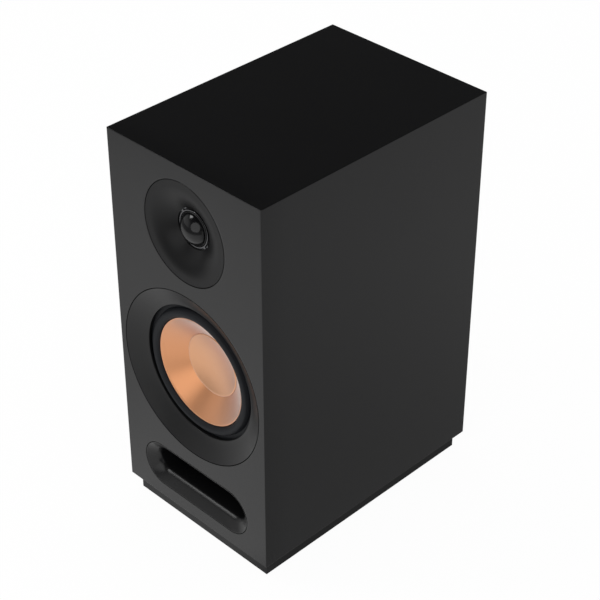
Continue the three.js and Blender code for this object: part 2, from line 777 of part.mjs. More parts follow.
function tweeterMotor() {
  const plate = washer(tweeterPlateBore, tweeterPlateRadius, tweeterPlateFront, tweeterPlateBack,
    mediumFacets);
  const magnet = washer(tweeterPlateBore + magnetBoreStep, tweeterMagnetDiameter / 2,
    tweeterPlateBack, tweeterYokeFront, mediumFacets);
  const yoke = turned([
    [tweeterVentRadius, tweeterPlateFront + fitGap],
    [tweeterPoleRadius, tweeterPlateFront + fitGap],
    [tweeterPoleRadius, tweeterYokeFront],
    [tweeterPlateRadius, tweeterYokeFront],
    [tweeterPlateRadius, tweeterYokeBack],
    [tweeterVentRadius, tweeterYokeBack],
  ], mediumFacets);
  const radius = chamberDiameter / 2;
  const chamberBack = tweeterYokeBack + chamberDepth;
  const chamber = turned([
    [radius - chamberWall, tweeterYokeBack],
    [radius, tweeterYokeBack],
    [radius, chamberBack],
    [0, chamberBack],
    [0, chamberBack - chamberWall],
    [radius - chamberWall, chamberBack - chamberWall],
  ], mediumFacets);
  return [
    piece('tweeter_top_plate', plate, zincSteel),
    piece('tweeter_magnet', magnet, ferrite),
    piece('tweeter_yoke', yoke, zincSteel),
    piece('tweeter_rear_chamber', chamber, blackPlastic),
  ];
}

function buildTweeter() {
  const group = new THREE.Group();
  group.position.set(0, frontFace, cabinetBottom + tweeterHeight);
  group.add(
    tweeterWaveguide(), tweeterClampRing(), tweeterDome(), tweeterDomeSurround(),
    tweeterVoiceCoil(), ...tweeterMotor(),
  );
  return group;
}

// ---------------------------------------------------------------- port

const flareInset = flareSlopeInset + flareRoundInset;
const throatWidth = flareWidth - 2 * flareInset;
const throatHeight = flareHeight - 2 * flareInset;
const throatCorner = flareCorner - flareInset;
const tailWidth = throatWidth + 2 * portWall;
const tailHeight = throatHeight + 2 * portWall;
const tailCorner = throatCorner + portWall;
const tailBack = baffleThickness + ductSocket;

function insetOutline(inset) {
  const shape = roundedRectangle(flareWidth - 2 * inset, flareHeight - 2 * inset, flareCorner - inset);
  return shape.extractPoints(cornerSteps).shape.slice(0, -1);
}

// The air inside the flare: a straight slope, a rounded shoulder, then the throat.
function flarePassage() {
  const sections = [[insetOutline(flareRim), -cutOver], [insetOutline(flareRim), 0]];
  const slopeAngle = Math.atan2(flareSlopeDepth, flareSlopeInset);
  const steps = 4;
  for (let i = 0; i <= steps; i += 1) {
    const angle = THREE.MathUtils.lerp(slopeAngle, Math.PI / 2, i / steps);
    const acrossShare = (Math.sin(angle) - Math.sin(slopeAngle)) / (1 - Math.sin(slopeAngle));
    const depthShare = 1 - Math.cos(angle) / Math.cos(slopeAngle);
    const inset = flareSlopeInset + flareRoundInset * acrossShare;
    sections.push([insetOutline(inset), flareSlopeDepth + flareRoundDepth * depthShare]);
  }
  sections.push([insetOutline(flareInset), tailBack + cutOver]);
  return lofted(sections);
}

function buildPort() {
  const front = carried(roundedRectangle(flareWidth, flareHeight, flareCorner), 0, flarePlate);
  const tailShape = roundedRectangle(tailWidth, tailHeight, tailCorner);
  const tail = carried(tailShape, flarePlate - cutOver, tailBack);
  const flare = cut(joined([front, tail]), [flarePassage()]);

  const bore = roundedRectangle(tailWidth + 2 * fitGap, tailHeight + 2 * fitGap, tailCorner + fitGap);
  const ductOutside = roundedRectangle(tailWidth + 2 * (fitGap + ductWall),
    tailHeight + 2 * (fitGap + ductWall), tailCorner + fitGap + ductWall);
  ductOutside.holes.push(bore);
  const duct = carried(ductOutside, baffleThickness, baffleThickness + ductLength);

  const group = new THREE.Group();
  group.position.set(0, frontFace, cabinetBottom + portHeight);
  group.add(piece('port_flare', flare, blackPlastic), piece('port_duct', duct, blackPlastic));
  return group;
}

// ---------------------------------------------------------------- cabinet

// Full-face board with a stepped opening for each drive unit and for the port.
function frontBaffle() {
  const slab = block(cabinetWidth, 0, baffleThickness, cabinetHeight, 0, cabinetHeight / 2);
  const through = baffleThickness + cutOver;
  const wooferTools = [
    disc(trimRadius + fitGap, -cutOver, wooferRecess, largeFacets),
    disc(barrelRadius + fitGap, -cutOver, through, largeFacets),
    ...wooferScrewPlaces().map(([x, z]) => (
      disc(screwShankRadius + fitGap, 0, through, smallFacets).translate(x, 0, z))),
  ].map((tool) => tool.translate(0, 0, wooferHeight));
  const tweeterTools = [
    disc(tweeterFlangeRadius + fitGap, -cutOver, waveguideFlange, largeFacets),
    disc(tweeterCutout, -cutOver, through, largeFacets),
  ].map((tool) => tool.translate(0, 0, tweeterHeight));
  const recess = roundedRectangle(flareWidth + 2 * fitGap, flareHeight + 2 * fitGap, flareCorner + fitGap);
  const hole = roundedRectangle(tailWidth + 2 * fitGap, tailHeight + 2 * fitGap, tailCorner + fitGap);
  const portTools = [
    carried(recess, -cutOver, flarePlate),
    carried(hole, -cutOver, through),
  ].map((tool) => tool.translate(0, 0, portHeight));
  const board = cut(slab, [...wooferTools, ...tweeterTools, ...portTools]);
  return piece('front_baffle', board, blackVinyl);
}

// One side of the wrap: a board whose two long edges are mitred into its neighbours.
// Its outer corners and its inner corners are given as [x, z].
function mitredPanel(name, outer, inner) {
  const shape = new THREE.Shape([outer[0], outer[1], inner[1], inner[0]].map(
    ([x, z]) => new THREE.Vector2(x, z)));
  return piece(name, carried(shape, baffleThickness, cabinetDepth), blackVinyl);
}

function wrapPanels() {
  const x = cabinetWidth / 2;
  const z = cabinetHeight;
  const w = wallThickness;
  const outer = { lowLeft: [-x, 0], lowRight: [x, 0], topRight: [x, z], topLeft: [-x, z] };
  const inner = {
    lowLeft: [w - x, w], lowRight: [x - w, w], topRight: [x - w, z - w], topLeft: [w - x, z - w],
  };
  const panel = (name, a, b) => mitredPanel(name, [outer[a], outer[b]], [inner[a], inner[b]]);
  return [
    panel('bottom_panel', 'lowLeft', 'lowRight'),
    panel('right_panel', 'lowRight', 'topRight'),
    panel('top_panel', 'topRight', 'topLeft'),
    panel('left_panel', 'topLeft', 'lowLeft'),
  ];
}

const innerWidth = cabinetWidth - 2 * wallThickness;
const innerHeight = cabinetHeight - 2 * wallThickness;
const rearInnerDepth = cabinetDepth - wallThickness;
const cupOuterWidth = cupOpeningWidth + 2 * cupWall;
const cupOuterHeight = cupOpeningHeight + 2 * cupWall;
const cupFlangeOuterWidth = cupOuterWidth + 2 * cupFlangeWidth;
const cupFlangeOuterHeight = cupOuterHeight + 2 * cupFlangeWidth;
const cupFlangeCorner = cupCorner + cupWall;
const boardWidth = cupFlangeOuterWidth - 2 * boardSideStep;
const boardHeight = 2 * (2 * bigCoilRadius + 2 * boardEdge + studRadius);

// Corners of the cup's flange, where its four screws go, as [x, z] from the cup's centre.
function terminalScrewPlaces() {
  const x = cupOuterWidth / 2 + screwHeadRadius;
  const z = cupOuterHeight / 2 + screwHeadRadius;
  return [[-x, -z], [x, -z], [x, z], [-x, z]];
}

function rearPanel() {
  const slab = block(innerWidth, rearInnerDepth, cabinetDepth, innerHeight, 0, cabinetHeight / 2);
  const rebate = roundedRectangle(cupFlangeOuterWidth + 2 * fitGap, cupFlangeOuterHeight + 2 * fitGap,
    cupFlangeCorner + fitGap);
  const hole = roundedRectangle(cupOuterWidth + 2 * fitGap, cupOuterHeight + 2 * fitGap,
    cupCorner + cupWall + fitGap);
  const pilots = terminalScrewPlaces().map(([x, z]) => (
    disc(screwShankRadius + fitGap, rearInnerDepth - cutOver, cabinetDepth, smallFacets)
      .translate(x, 0, z)));
  const tools = [
    carried(rebate, cabinetDepth - cupFlange, cabinetDepth + cutOver),
    carried(hole, rearInnerDepth - cutOver, cabinetDepth + cutOver),
    ...pilots,
  ].map((tool) => tool.translate(0, 0, terminalHeight));
  return piece('rear_panel', cut(slab, tools), blackVinyl);
}

// Batten glued between the side panels, behind the gap between the two drive units.
function crossBrace() {
  const front = baffleThickness + braceFromBaffle;
  const z = wooferHeight + trimRadius + wooferToTweeter / 2;
  return piece('cross_brace', block(innerWidth, front, front + braceDepth, braceHeight, 0, z),
    rawFibreboard);
}

// Damping pad on the rear panel, above the crossover.
function rearWadding() {
  const bottom = terminalHeight + boardHeight / 2 + 4 * waddingMargin;
  const top = cabinetHeight - wallThickness - waddingMargin;
  const pad = block(innerWidth - 2 * waddingMargin, rearInnerDepth - waddingThickness, rearInnerDepth,
    top - bottom, 0, (top + bottom) / 2);
  return piece('rear_wadding', pad, whiteWadding);
}

function buildCabinet() {
  const group = new THREE.Group();
  group.position.set(0, frontFace, cabinetBottom);
  const plinth = block(cabinetWidth - 2 * plinthInset, plinthInset, cabinetDepth - plinthInset,
    plinthHeight, 0, -plinthHeight / 2);
  group.add(
    frontBaffle(), ...wrapPanels(), rearPanel(), piece('plinth', plinth, blackPlastic),
    crossBrace(), rearWadding(),
  );
  return group;
}

// ---------------------------------------------------------------- terminals and crossover
// This group's Y = 0 lies on the rear face, and depths into the cabinet are negative.

const cupFloor = -cupDepth;
const cupFloorBack = cupFloor - cupWall;
const boardBack = cupFloorBack - boardStandoff;
const boardFront = boardBack - boardThickness;
const postBaseTop = cupFloor + postBaseHeight;
const washerFront = postBaseTop + fitGap;
const capFront = washerFront + washerHeight + fitGap;
const studTop = capFront + capLength - postTravel;
const studTail = boardFront - studTailLength;
const polarities = [['positive', -1, redPlastic], ['negative', 1, blackPlastic]];

function screwOutline(clearance) {
  const head = screwHeadRadius + clearance;
  const shank = screwShankRadius + clearance;
  const headBase = -(screwHeadRadius - screwShankRadius) - clearance / 2;
  return [[0, 0], [head, 0], [shank, headBase], [shank, -terminalScrewLength], [0, -terminalScrewLength]];
}

function standoffPlaces() {
  const x = cupOpeningWidth / 2 - standoffRadius - cupWall;
  const z = cupOpeningHeight / 2 - standoffRadius - cupWall;
  return [[-x, -z], [x, -z], [x, z], [-x, z]];
}

// Moulded recess with a flange, a floor that holds the posts, and standoffs for the board.
function terminalCup() {
  const flange = carried(roundedRectangle(cupFlangeOuterWidth, cupFlangeOuterHeight, cupFlangeCorner),
    -cupFlange, 0);
  const body = carried(roundedRectangle(cupOuterWidth, cupOuterHeight, cupCorner + cupWall),
    cupFloorBack, -cupFlange / 2);
  const standoffs = standoffPlaces().map(([x, z]) => (
    disc(standoffRadius, boardBack, cupFloorBack + cutOver, smallFacets).translate(x, 0, z)));
  const hollow = carried(roundedRectangle(cupOpeningWidth, cupOpeningHeight, cupCorner), cupFloor, cutOver);
  const studHoles = polarities.map(([, side]) => (
    disc(studRadius + fitGap, cupFloorBack - cutOver, cupFloor + cutOver, smallFacets)
      .translate(side * postSpacing / 2, 0, 0)));
  const sinks = terminalScrewPlaces().map(([x, z]) => (
    turned(screwOutline(fitGap), smallFacets).translate(x, 0, z)));
  const cup = cut(joined([flange, body, ...standoffs]), [hollow, ...studHoles, ...sinks]);
  return piece('terminal_cup', cup, blackPlastic);
}

function terminalScrews() {
  const outline = screwOutline(0);
  return terminalScrewPlaces().map(([x, z], i) => {
    const screw = piece(`terminal_screw_${i + 1}`, turned(outline, smallFacets), zincSteel);
    screw.position.set(x, 0, z);
    return screw;
  });
}

// A post: fixed stud with a socket for a plug, nut behind the floor, and the pair that moves,
// a clamp washer and the cap that drives it.
function bindingPost([polarity, side, capFinish]) {
  const stud = turned([
    [0, studTail],
    [studRadius, studTail],
    [studRadius, cupFloor],
    [postBaseRadius, cupFloor],
    [postBaseRadius, postBaseTop],
    [studRadius, postBaseTop],
    [studRadius, studTop],
    [plugBore, studTop],
    [plugBore, studTop - plugBoreDepth],
    [0, studTop - plugBoreDepth],
  ], smallFacets);
  const ringBore = studRadius + fitGap;
  const clamp = washer(ringBore, postBaseRadius, washerFront, washerFront + washerHeight, smallFacets);
  const capBack = capFront + capLength;
  const cap = turned([
    [ringBore, capFront],
    [capRadius - capNearChamfer, capFront],
    [capRadius, capFront + capNearChamfer],
    [capRadius, capBack - capFarChamfer],
    [capRadius - capFarChamfer, capBack],
    [ringBore, capBack],
  ], 2 * smallFacets);
  const boredNut = cut(disc(nutRadius, cupFloorBack - nutHeight, cupFloorBack, nutSides),
    [disc(ringBore, cupFloorBack - nutHeight - cutOver, cupFloorBack + cutOver, smallFacets)]);
  const group = new THREE.Group();
  group.position.set(side * postSpacing / 2, 0, 0);
  group.add(
    piece(`${polarity}_stud`, stud, goldPlate),
    piece(`${polarity}_clamp_washer`, clamp, goldPlate),
    piece(`${polarity}_cap`, cap, capFinish),
    piece(`${polarity}_nut`, boredNut, zincSteel),
  );
  return group;
}

function crossoverBoard() {
  const slab = block(boardWidth, boardFront, boardBack, boardHeight);
  const holes = polarities.map(([, side]) => (
    disc(studRadius + fitGap, boardFront - cutOver, boardBack + cutOver, smallFacets)
      .translate(side * postSpacing / 2, 0, 0)));
  return piece('crossover_board', cut(slab, holes), greenBoard);
}

// The filter's parts stand on the board's inner face, away from the studs' tails.
function crossoverParts() {
  const left = -boardWidth / 2 + boardEdge;
  const right = boardWidth / 2 - boardEdge;
  const top = boardHeight / 2 - boardEdge;
  const bottom = -boardHeight / 2 + boardEdge;
  const rollAcross = (radius, length, x, z) => (
    new THREE.CylinderGeometry(radius, radius, length, smallFacets).rotateZ(Math.PI / 2)
      .translate(x, boardFront - fitGap - radius, z));
  const bigCoil = washer(bigCoilBore, bigCoilRadius, boardFront - bigCoilLength, boardFront, mediumFacets)
    .translate(left + bigCoilRadius, 0, bottom + bigCoilRadius);
  const smallCoil = washer(smallCoilBore, smallCoilRadius, boardFront - smallCoilLength, boardFront,
    mediumFacets).translate(right - smallCoilRadius, 0, bottom + smallCoilRadius);
  const bigCapacitor = rollAcross(bigCapacitorRadius, bigCapacitorLength,
    left + bigCapacitorLength / 2, top - bigCapacitorRadius);
  const smallCapacitor = rollAcross(smallCapacitorRadius, smallCapacitorLength,
    right - smallCapacitorLength / 2, top - smallCapacitorRadius);
  const resistor = block(resistorLength, boardFront - resistorSide, boardFront, resistorSide,
    right - resistorLength / 2, top - 2 * smallCapacitorRadius - boardEdge - resistorSide / 2);
  return [
    piece('low_pass_inductor', bigCoil, enamelledCopper),
    piece('high_pass_inductor', smallCoil, enamelledCopper),
    piece('low_pass_capacitor', bigCapacitor, capacitorBlue),
    piece('high_pass_capacitor', smallCapacitor, capacitorAmber),
    piece('resistor', resistor, whiteCeramic),
  ];
}

function buildTerminals() {
  const group = new THREE.Group();
  group.position.set(0, rearFace, cabinetBottom + terminalHeight);
  group.add(
    terminalCup(), ...terminalScrews(), ...polarities.map(bindingPost), crossoverBoard(),
    ...crossoverParts(),
  );
  return group;
}

// ---------------------------------------------------------------- internal wiring

function buildWiring() {
  const boardY = rearFace + boardFront - cableEndGap;
  const boardTop = cabinetBottom + terminalHeight + boardHeight / 2;
  const stripY = frontFace + plateFront + stripThickness + 2 * fitGap;
  const stripBottom = cabinetBottom + wooferHeight - topPlateRadius - fitGap - stripHeight;
  const chamberY = frontFace + tweeterYokeBack + chamberDepth + 2 * fitGap;
  const wooferCable = cable([wooferCableX, boardY, boardTop - wooferCableDrop],
    [0, stripY, stripBottom + wooferCableLift], wooferCableBends, cableRadius, wooferCableSteps);
  const tweeterCable = cable([tweeterCableX, boardY, boardTop - tweeterCableDrop],
    [0, chamberY, cabinetBottom + tweeterHeight], tweeterCableBends, cableRadius, tweeterCableSteps);
  const group = new THREE.Group();
  group.add(
    piece('woofer_cable', wooferCable, cableSheath), piece('tweeter_cable', tweeterCable, cableSheath),
  );
  return group;
}

// ---------------------------------------------------------------- assembly

const speaker = new THREE.Group();
speaker.add(
  buildCabinet(), buildPort(), buildWoofer(), buildTweeter(), buildTerminals(), buildWiring(),
);

export default speaker;
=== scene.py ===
import bmesh
import bpy
import numpy as np
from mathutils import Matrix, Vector


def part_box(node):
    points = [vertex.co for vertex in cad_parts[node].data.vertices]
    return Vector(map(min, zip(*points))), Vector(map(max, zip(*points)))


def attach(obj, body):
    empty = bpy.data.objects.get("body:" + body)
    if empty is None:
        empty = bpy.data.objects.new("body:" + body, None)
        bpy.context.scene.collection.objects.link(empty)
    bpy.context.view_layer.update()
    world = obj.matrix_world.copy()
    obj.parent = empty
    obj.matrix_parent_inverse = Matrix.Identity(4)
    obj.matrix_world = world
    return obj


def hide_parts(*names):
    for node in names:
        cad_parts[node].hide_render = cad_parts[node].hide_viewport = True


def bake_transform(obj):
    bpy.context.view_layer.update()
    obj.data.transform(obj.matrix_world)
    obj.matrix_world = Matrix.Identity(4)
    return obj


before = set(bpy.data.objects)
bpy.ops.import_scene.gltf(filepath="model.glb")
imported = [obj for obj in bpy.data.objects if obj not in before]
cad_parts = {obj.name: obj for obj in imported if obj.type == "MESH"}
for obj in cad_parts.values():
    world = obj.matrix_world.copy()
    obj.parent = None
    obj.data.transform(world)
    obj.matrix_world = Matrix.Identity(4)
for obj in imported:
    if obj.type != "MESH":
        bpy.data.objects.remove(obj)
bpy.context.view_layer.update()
mm = 0.001

# ------------------------ viewpoint
# The speaker is seen from in front, above and to its right, by a long lens that keeps its edges
# nearly parallel. The lens is aimed along one fixed line, with no shift and no depth of field.

eye = Vector((0.7764, -0.7767, 0.9483))
line_of_sight = Vector((-0.57711, 0.57734, -0.57761))
camera_data = bpy.data.cameras.new("camera")
camera_data.lens = 102.22
camera_data.sensor_width = 36
camera = bpy.data.objects.new("camera", camera_data)
camera.location = eye
camera.rotation_mode = "QUATERNION"
camera.rotation_quaternion = line_of_sight.to_track_quat("-Z", "Y")
bpy.context.scene.collection.objects.link(camera)
bpy.context.scene.camera = camera

# ------------------------ front baffle
# A 25 mm fibreboard slab wrapped in satin black vinyl, routed with a stepped round seat for each
# drive unit and a rounded slot for the port. The wrap is folded over the front edges and glued.

edge_round = 0.25 * mm
baffle_low, baffle_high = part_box("front_baffle")
front_y = baffle_low.y
baffle_depth = baffle_high.y - baffle_low.y


def box_middle(box):
    """Halfway between a box's two corners."""
    return (box[0] + box[1]) / 2


woofer_centre = box_middle(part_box("woofer_trim_ring"))
tweeter_centre = box_middle(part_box("tweeter_waveguide"))
port_centre = box_middle(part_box("port_flare"))


def places(*axes):
    """Points from their coordinates, each given as an array or a single value."""
    return np.stack(np.broadcast_arrays(*axes), axis=-1)


def full_turn(count):
    """Angles evenly spaced round a circle."""
    return np.linspace(0, 2 * np.pi, count, endpoint=False)


def grid_faces(rows, columns, wrapped, first):
    """Quads between neighbouring grid points, where point (i, j) is number first + i * columns + j.
    A wrapped grid also joins its last column to its first."""
    i, j = np.meshgrid(np.arange(rows - 1), np.arange(columns if wrapped else columns - 1), indexing="ij")
    k = (j + 1) % columns
    corners = places(i * columns + j, i * columns + k, (i + 1) * columns + k, (i + 1) * columns + j)
    return corners.reshape(-1, 4) + first


def skin(name, grids, sharp_over=35, close_ends=False):
    """One mesh from several grids of points, each rows by columns by XYZ and wrapped in its columns or not.
    Points that meet are merged, open ends can be closed flat, and faces are turned outwards."""
    points = np.concatenate([grid.reshape(-1, 3) for grid, wrapped in grids])
    firsts = np.cumsum([0] + [grid.shape[0] * grid.shape[1] for grid, wrapped in grids])
    faces = np.concatenate([
        grid_faces(grid.shape[0], grid.shape[1], wrapped, first)
        for (grid, wrapped), first in zip(grids, firsts)
    ])
    mesh = bpy.data.meshes.new(name)
    mesh.from_pydata(points.tolist(), [], faces.tolist())
    work = bmesh.new()
    work.from_mesh(mesh)
    bmesh.ops.remove_doubles(work, verts=work.verts, dist=2e-6)
    bmesh.ops.dissolve_degenerate(work, edges=work.edges, dist=1e-6)
    loose = [edge for edge in work.edges if edge.is_wire]
    bmesh.ops.delete(work, geom=loose, context="EDGES")
    if close_ends:
        open_edges = [edge for edge in work.edges if edge.is_boundary]
        bmesh.ops.holes_fill(work, edges=open_edges)
    bmesh.ops.recalc_face_normals(work, faces=work.faces)
    work.to_mesh(mesh)
    work.free()
    mesh.shade_smooth()
    mesh.set_sharp_from_angle(angle=np.radians(sharp_over))
    piece = bpy.data.objects.new(name, mesh)
    bpy.context.scene.collection.objects.link(piece)
    return piece


def rounded_reach(angle, half_width, half_height, corner):
    """Distance from the centre to a rounded rectangle along each angle: to the upright side, the level side
    or the corner's circle, whichever the ray meets. A circle is a rectangle that is all corner."""
    c, s = np.abs(np.cos(angle)), np.abs(np.sin(angle))
    reach = np.minimum(half_width / np.maximum(c, 1e-9), half_height / np.maximum(s, 1e-9))
    x, z = half_width - corner, half_height - corner
    along = c * x + s * z
    arc = along + np.sqrt(np.maximum(along**2 - x**2 - z**2 + corner**2, 0))
    return np.where((reach * c > x) & (reach * s > z), arc, reach)


def ring_at(centre, angle, half_width, half_height, corner, level):
    """A rounded rectangle at one level, as a point on each ray from the centre."""
    reach = rounded_reach(angle, half_width, half_height, corner)
    return places(centre.x + reach * np.cos(angle), level, centre.z + reach * np.sin(angle))


def seat_grid(low, high, centre, steps, edge_points):
    """The board round one opening, as rings of points on common rays from the opening's centre.
    The first and last rings are the board's own rectangle, at the front and at the back; between them
    each step (half_width, half_height, corner, depth) is a ring of the stepped opening."""
    across, up = edge_points
    xs, zs = np.linspace(low[0], high[0], across + 1), np.linspace(low[1], high[1], up + 1)
    x = np.concatenate([xs[:-1], np.full(up, high[0]), xs[:0:-1], np.full(up, low[0])])
    z = np.concatenate([np.full(across, low[1]), zs[:-1], np.full(across, high[1]), zs[:0:-1]])
    angle = np.arctan2(z - centre.z, x - centre.x)
    rings = [ring_at(centre, angle, *sizes, front_y + depth) for *sizes, depth in steps]
    rim = places(x, front_y, z)
    between = [rim + share * (rings[0] - rim) for share in (0.03, 0.35, 0.7, 0.97)]
    return np.stack([rim, *between, *rings, places(x, front_y + baffle_depth, z)])


def seat_steps(mouth, shoulder, through):
    """Steps of a stepped opening in millimetres: a slightly softened mouth, a wall, a shoulder and the hole
    through. Mouth and hole are (half width, half height, corner), all three the same where it is round."""
    softening = [(0.25, 0), (0.075, 0.075), (0, 0.25), (0, shoulder)]
    steps = [(*(size + out for size in mouth), depth) for out, depth in softening]
    steps += [(*through, shoulder), (*through, baffle_depth / mm)]
    return [tuple(size * mm for size in step) for step in steps]


# The board is divided into three bands, one round each opening. A seat is about 0.4 mm clear of its piece.
band_edges = [baffle_low.z + edge_round, 75.9 * mm, 238.4 * mm, baffle_high.z - edge_round]
across_points = 96
bands = list(zip(band_edges[:-1], band_edges[1:], (44, 88, 64)))
inner_x = baffle_high.x - edge_round
seats = [
    (port_centre, seat_steps((59.45, 20.7, 20.6), 8, (52.2, 13.45, 10.1))),
    (woofer_centre, seat_steps((74.7, 74.7, 74.7), 16.4, (61.8, 61.8, 61.8))),
    (tweeter_centre, seat_steps((42.4, 42.4, 42.4), 4, (35, 35, 35))),
]
baffle_grids = [
    (seat_grid((-inner_x, low), (inner_x, high), centre, steps, (across_points, points)), True)
    for (centre, steps), (low, high, points) in zip(seats, bands)
]


def rim_line(xs, zs, corner_points=4):
    """The rectangle's outline and the way out of it at each point, turned by quarters at the corners."""
    turn = np.linspace(0, np.pi / 2, corner_points + 1)
    lines, ways = [], []
    sides = [(xs, zs[0], -90), (xs[-1], zs, 0), (xs[::-1], zs[-1], 90), (xs[0], zs[::-1], 180)]
    for side_x, side_z, degrees in sides:
        line = places(side_x, side_z)
        way = np.radians(degrees)
        lines += [line, np.repeat(line[-1:], corner_points - 1, axis=0)]
        corner_ways = (way + turn)[1:-1]
        ways += [np.tile([np.cos(way), np.sin(way)], (len(line), 1)),
                 places(np.cos(corner_ways), np.sin(corner_ways))]
    return np.concatenate(lines), np.concatenate(ways)


def edge_grid(xs, zs, front, back, radius):
    """The folded edge: each ring is the inset rectangle moved out by radius * sin(t) at a depth of
    radius * (1 - cos(t)), then straight to the back and in again to the inset rectangle."""
    line, way = rim_line(xs, zs)
    t = np.linspace(0, np.pi / 2, 6)
    out = np.concatenate([radius * np.sin(t), [radius, 0]])
    depth = np.concatenate([front + radius * (1 - np.cos(t)), [back, back]])
    place = line + out[:, None, None] * way
    return places(place[..., 0], depth[:, None], place[..., 1])


side_x = np.linspace(-inner_x, inner_x, across_points + 1)
band_z = [np.linspace(low, high, points + 1) for low, high, points in bands]
side_z = np.unique(np.concatenate(band_z).round(9))
baffle_grids.append((edge_grid(side_x, side_z, front_y, baffle_high.y, edge_round), True))
baffle = skin("baffle", baffle_grids)


def wired(tree, kind, inputs=(), **settings):
    """A shader node with its settings. Each input, by number or by name, is joined to a socket or set."""
    node = tree.nodes.new(f"ShaderNode{kind}")
    for label, value in settings.items():
        setattr(node, label, value)
    for slot, value in inputs.items() if isinstance(inputs, dict) else enumerate(inputs):
        if isinstance(value, bpy.types.NodeSocket):
            tree.links.new(value, node.inputs[slot])
        else:
            node.inputs[slot].default_value = value
    return node


def math_node(tree, operation, *values):
    """The result of a maths node on values or sockets."""
    return wired(tree, "Math", values, operation=operation).outputs[0]


def vector_node(tree, operation, *values):
    """The result of a vector maths node: a number for a length or a dot product, otherwise a vector."""
    result = "Value" if operation in ("LENGTH", "DOT_PRODUCT") else "Vector"
    return wired(tree, "VectorMath", values, operation=operation).outputs[result]


def noise_node(tree, vector, scale, detail, roughness=0.5):
    """Noise from -1 to 1 about its middle, at a scale in features to the metre."""
    values = {"Vector": vector, "Scale": scale, "Detail": detail, "Roughness": roughness}
    return math_node(tree, "MULTIPLY_ADD", wired(tree, "TexNoise", values).outputs["Fac"], 2.0, -1.0)


def pattern_group(name, patterns):
    """A shader node group. Three patterns come from a place and a scale, and the group puts out
    colour * (1 + tint spread * first), roughness + roughness spread * second, and the third as height."""
    group = bpy.data.node_groups.new(name, "ShaderNodeTree")
    sockets = {"INPUT": {"Vector": "Vector", "Colour": "Color", "Roughness": "Float", "Scale": "Float",
                         "Tint Spread": "Float", "Roughness Spread": "Float"},
               "OUTPUT": {"Colour": "Color", "Roughness": "Float", "Height": "Float"}}
    for way, kinds in sockets.items():
        for label, kind in kinds.items():
            group.interface.new_socket(name=label, in_out=way, socket_type=f"NodeSocket{kind}")
    given = group.nodes.new("NodeGroupInput").outputs
    result = group.nodes.new("NodeGroupOutput").inputs
    tint, wear, height = patterns(group, given["Vector"], given["Scale"])
    brightness = math_node(group, "MULTIPLY_ADD", tint, given["Tint Spread"], 1.0)
    colour = wired(group, "VectorMath", {0: given["Colour"], "Scale": brightness}, operation="SCALE")
    roughness = math_node(group, "MULTIPLY_ADD", wear, given["Roughness Spread"], given["Roughness"])
    group.links.new(colour.outputs[0], result["Colour"])
    group.links.new(roughness, result["Roughness"])
    group.links.new(height, result["Height"])
    return group


def pebbled(group, place, scale):
    """Fine pebble, broad unevenness and a few rubbed patches, for wrapped and moulded skins."""
    pebble = noise_node(group, place, scale, 3.0, 0.6)
    broad = noise_node(group, place, 22.0, 3.0)
    rubbed = noise_node(group, place, 7.0, 4.0, 0.65)
    uneven = math_node(group, "ADD", rubbed, math_node(group, "MULTIPLY", pebble, 0.4))
    return math_node(group, "ADD", broad, pebble), uneven, pebble


shader_sockets = {"metallic": "Metallic", "specular": "Specular IOR Level", "coat": "Coat Weight",
                  "coat_roughness": "Coat Roughness", "sheen": "Sheen Weight", "edge_tint": "Specular Tint"}


def textured(name, group, colour, roughness, scale, depth, tint, spread, centre=(0, 0, 0), **shader_values):
    """A material whose colour, roughness and bump, so many millimetres deep, come from a group, in Object
    coordinates taken from the centre. The rest is set on the shader."""
    material = bpy.data.materials.new(name)
    material.use_nodes = True
    tree = material.node_tree
    where = wired(tree, "TexCoord").outputs["Object"]
    place = wired(tree, "Mapping", {"Vector": where, "Location": [-along for along in centre]})
    values = {"Vector": place.outputs["Vector"], "Colour": (*colour, 1), "Roughness": roughness,
              "Scale": scale, "Tint Spread": tint, "Roughness Spread": spread}
    pattern = wired(tree, "Group", values, node_tree=group).outputs
    bump = wired(tree, "Bump", {"Height": pattern["Height"], "Distance": depth * mm, "Strength": 1.0})
    shader = tree.nodes["Principled BSDF"].inputs
    for label, value in shader_values.items():
        shader[shader_sockets[label]].default_value = value
    tree.links.new(pattern["Colour"], shader["Base Color"])
    tree.links.new(pattern["Roughness"], shader["Roughness"])
    tree.links.new(bump.outputs["Normal"], shader["Normal"])
    return material


grain = pattern_group("surface grain", pebbled)


def grained(name, colour, roughness, scale, depth, tint=0.1, spread=0.06, **shader_values):
    """A wrapped, moulded or cast skin."""
    return textured(name, grain, colour, roughness, scale, depth, tint, spread, **shader_values)


def dress(piece, material, body, slot, *nodes):
    """Gives a new piece its material and its body, and hides the CAD nodes that it stands for. The finish
    slot is not used.
    """
    piece.data.materials.clear()
    piece.data.materials.append(material)
    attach(piece, body)
    if nodes:
        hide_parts(*nodes)


black_vinyl = grained("black vinyl", (0.0038, 0.0038, 0.0041), 0.25, 1400, 0.005, specular=0.46)
dress(baffle, black_vinyl, "cabinet", "black_vinyl", "front_baffle")

# ------------------------ cabinet wrap
# Four 15 mm boards folded round from one vinyl-covered sheet: the V-grooves close to mitred corners,
# so that the wrap runs round them unbroken. They are glued to the back of the baffle.

wall, flat_margin = 15 * mm, 1.5 * mm
wrap_front, wrap_back = baffle_high.y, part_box("top_panel")[1].y
wrap_low, wrap_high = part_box("bottom_panel")[0].z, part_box("top_panel")[1].z
wrap_middle = (wrap_low + wrap_high) / 2


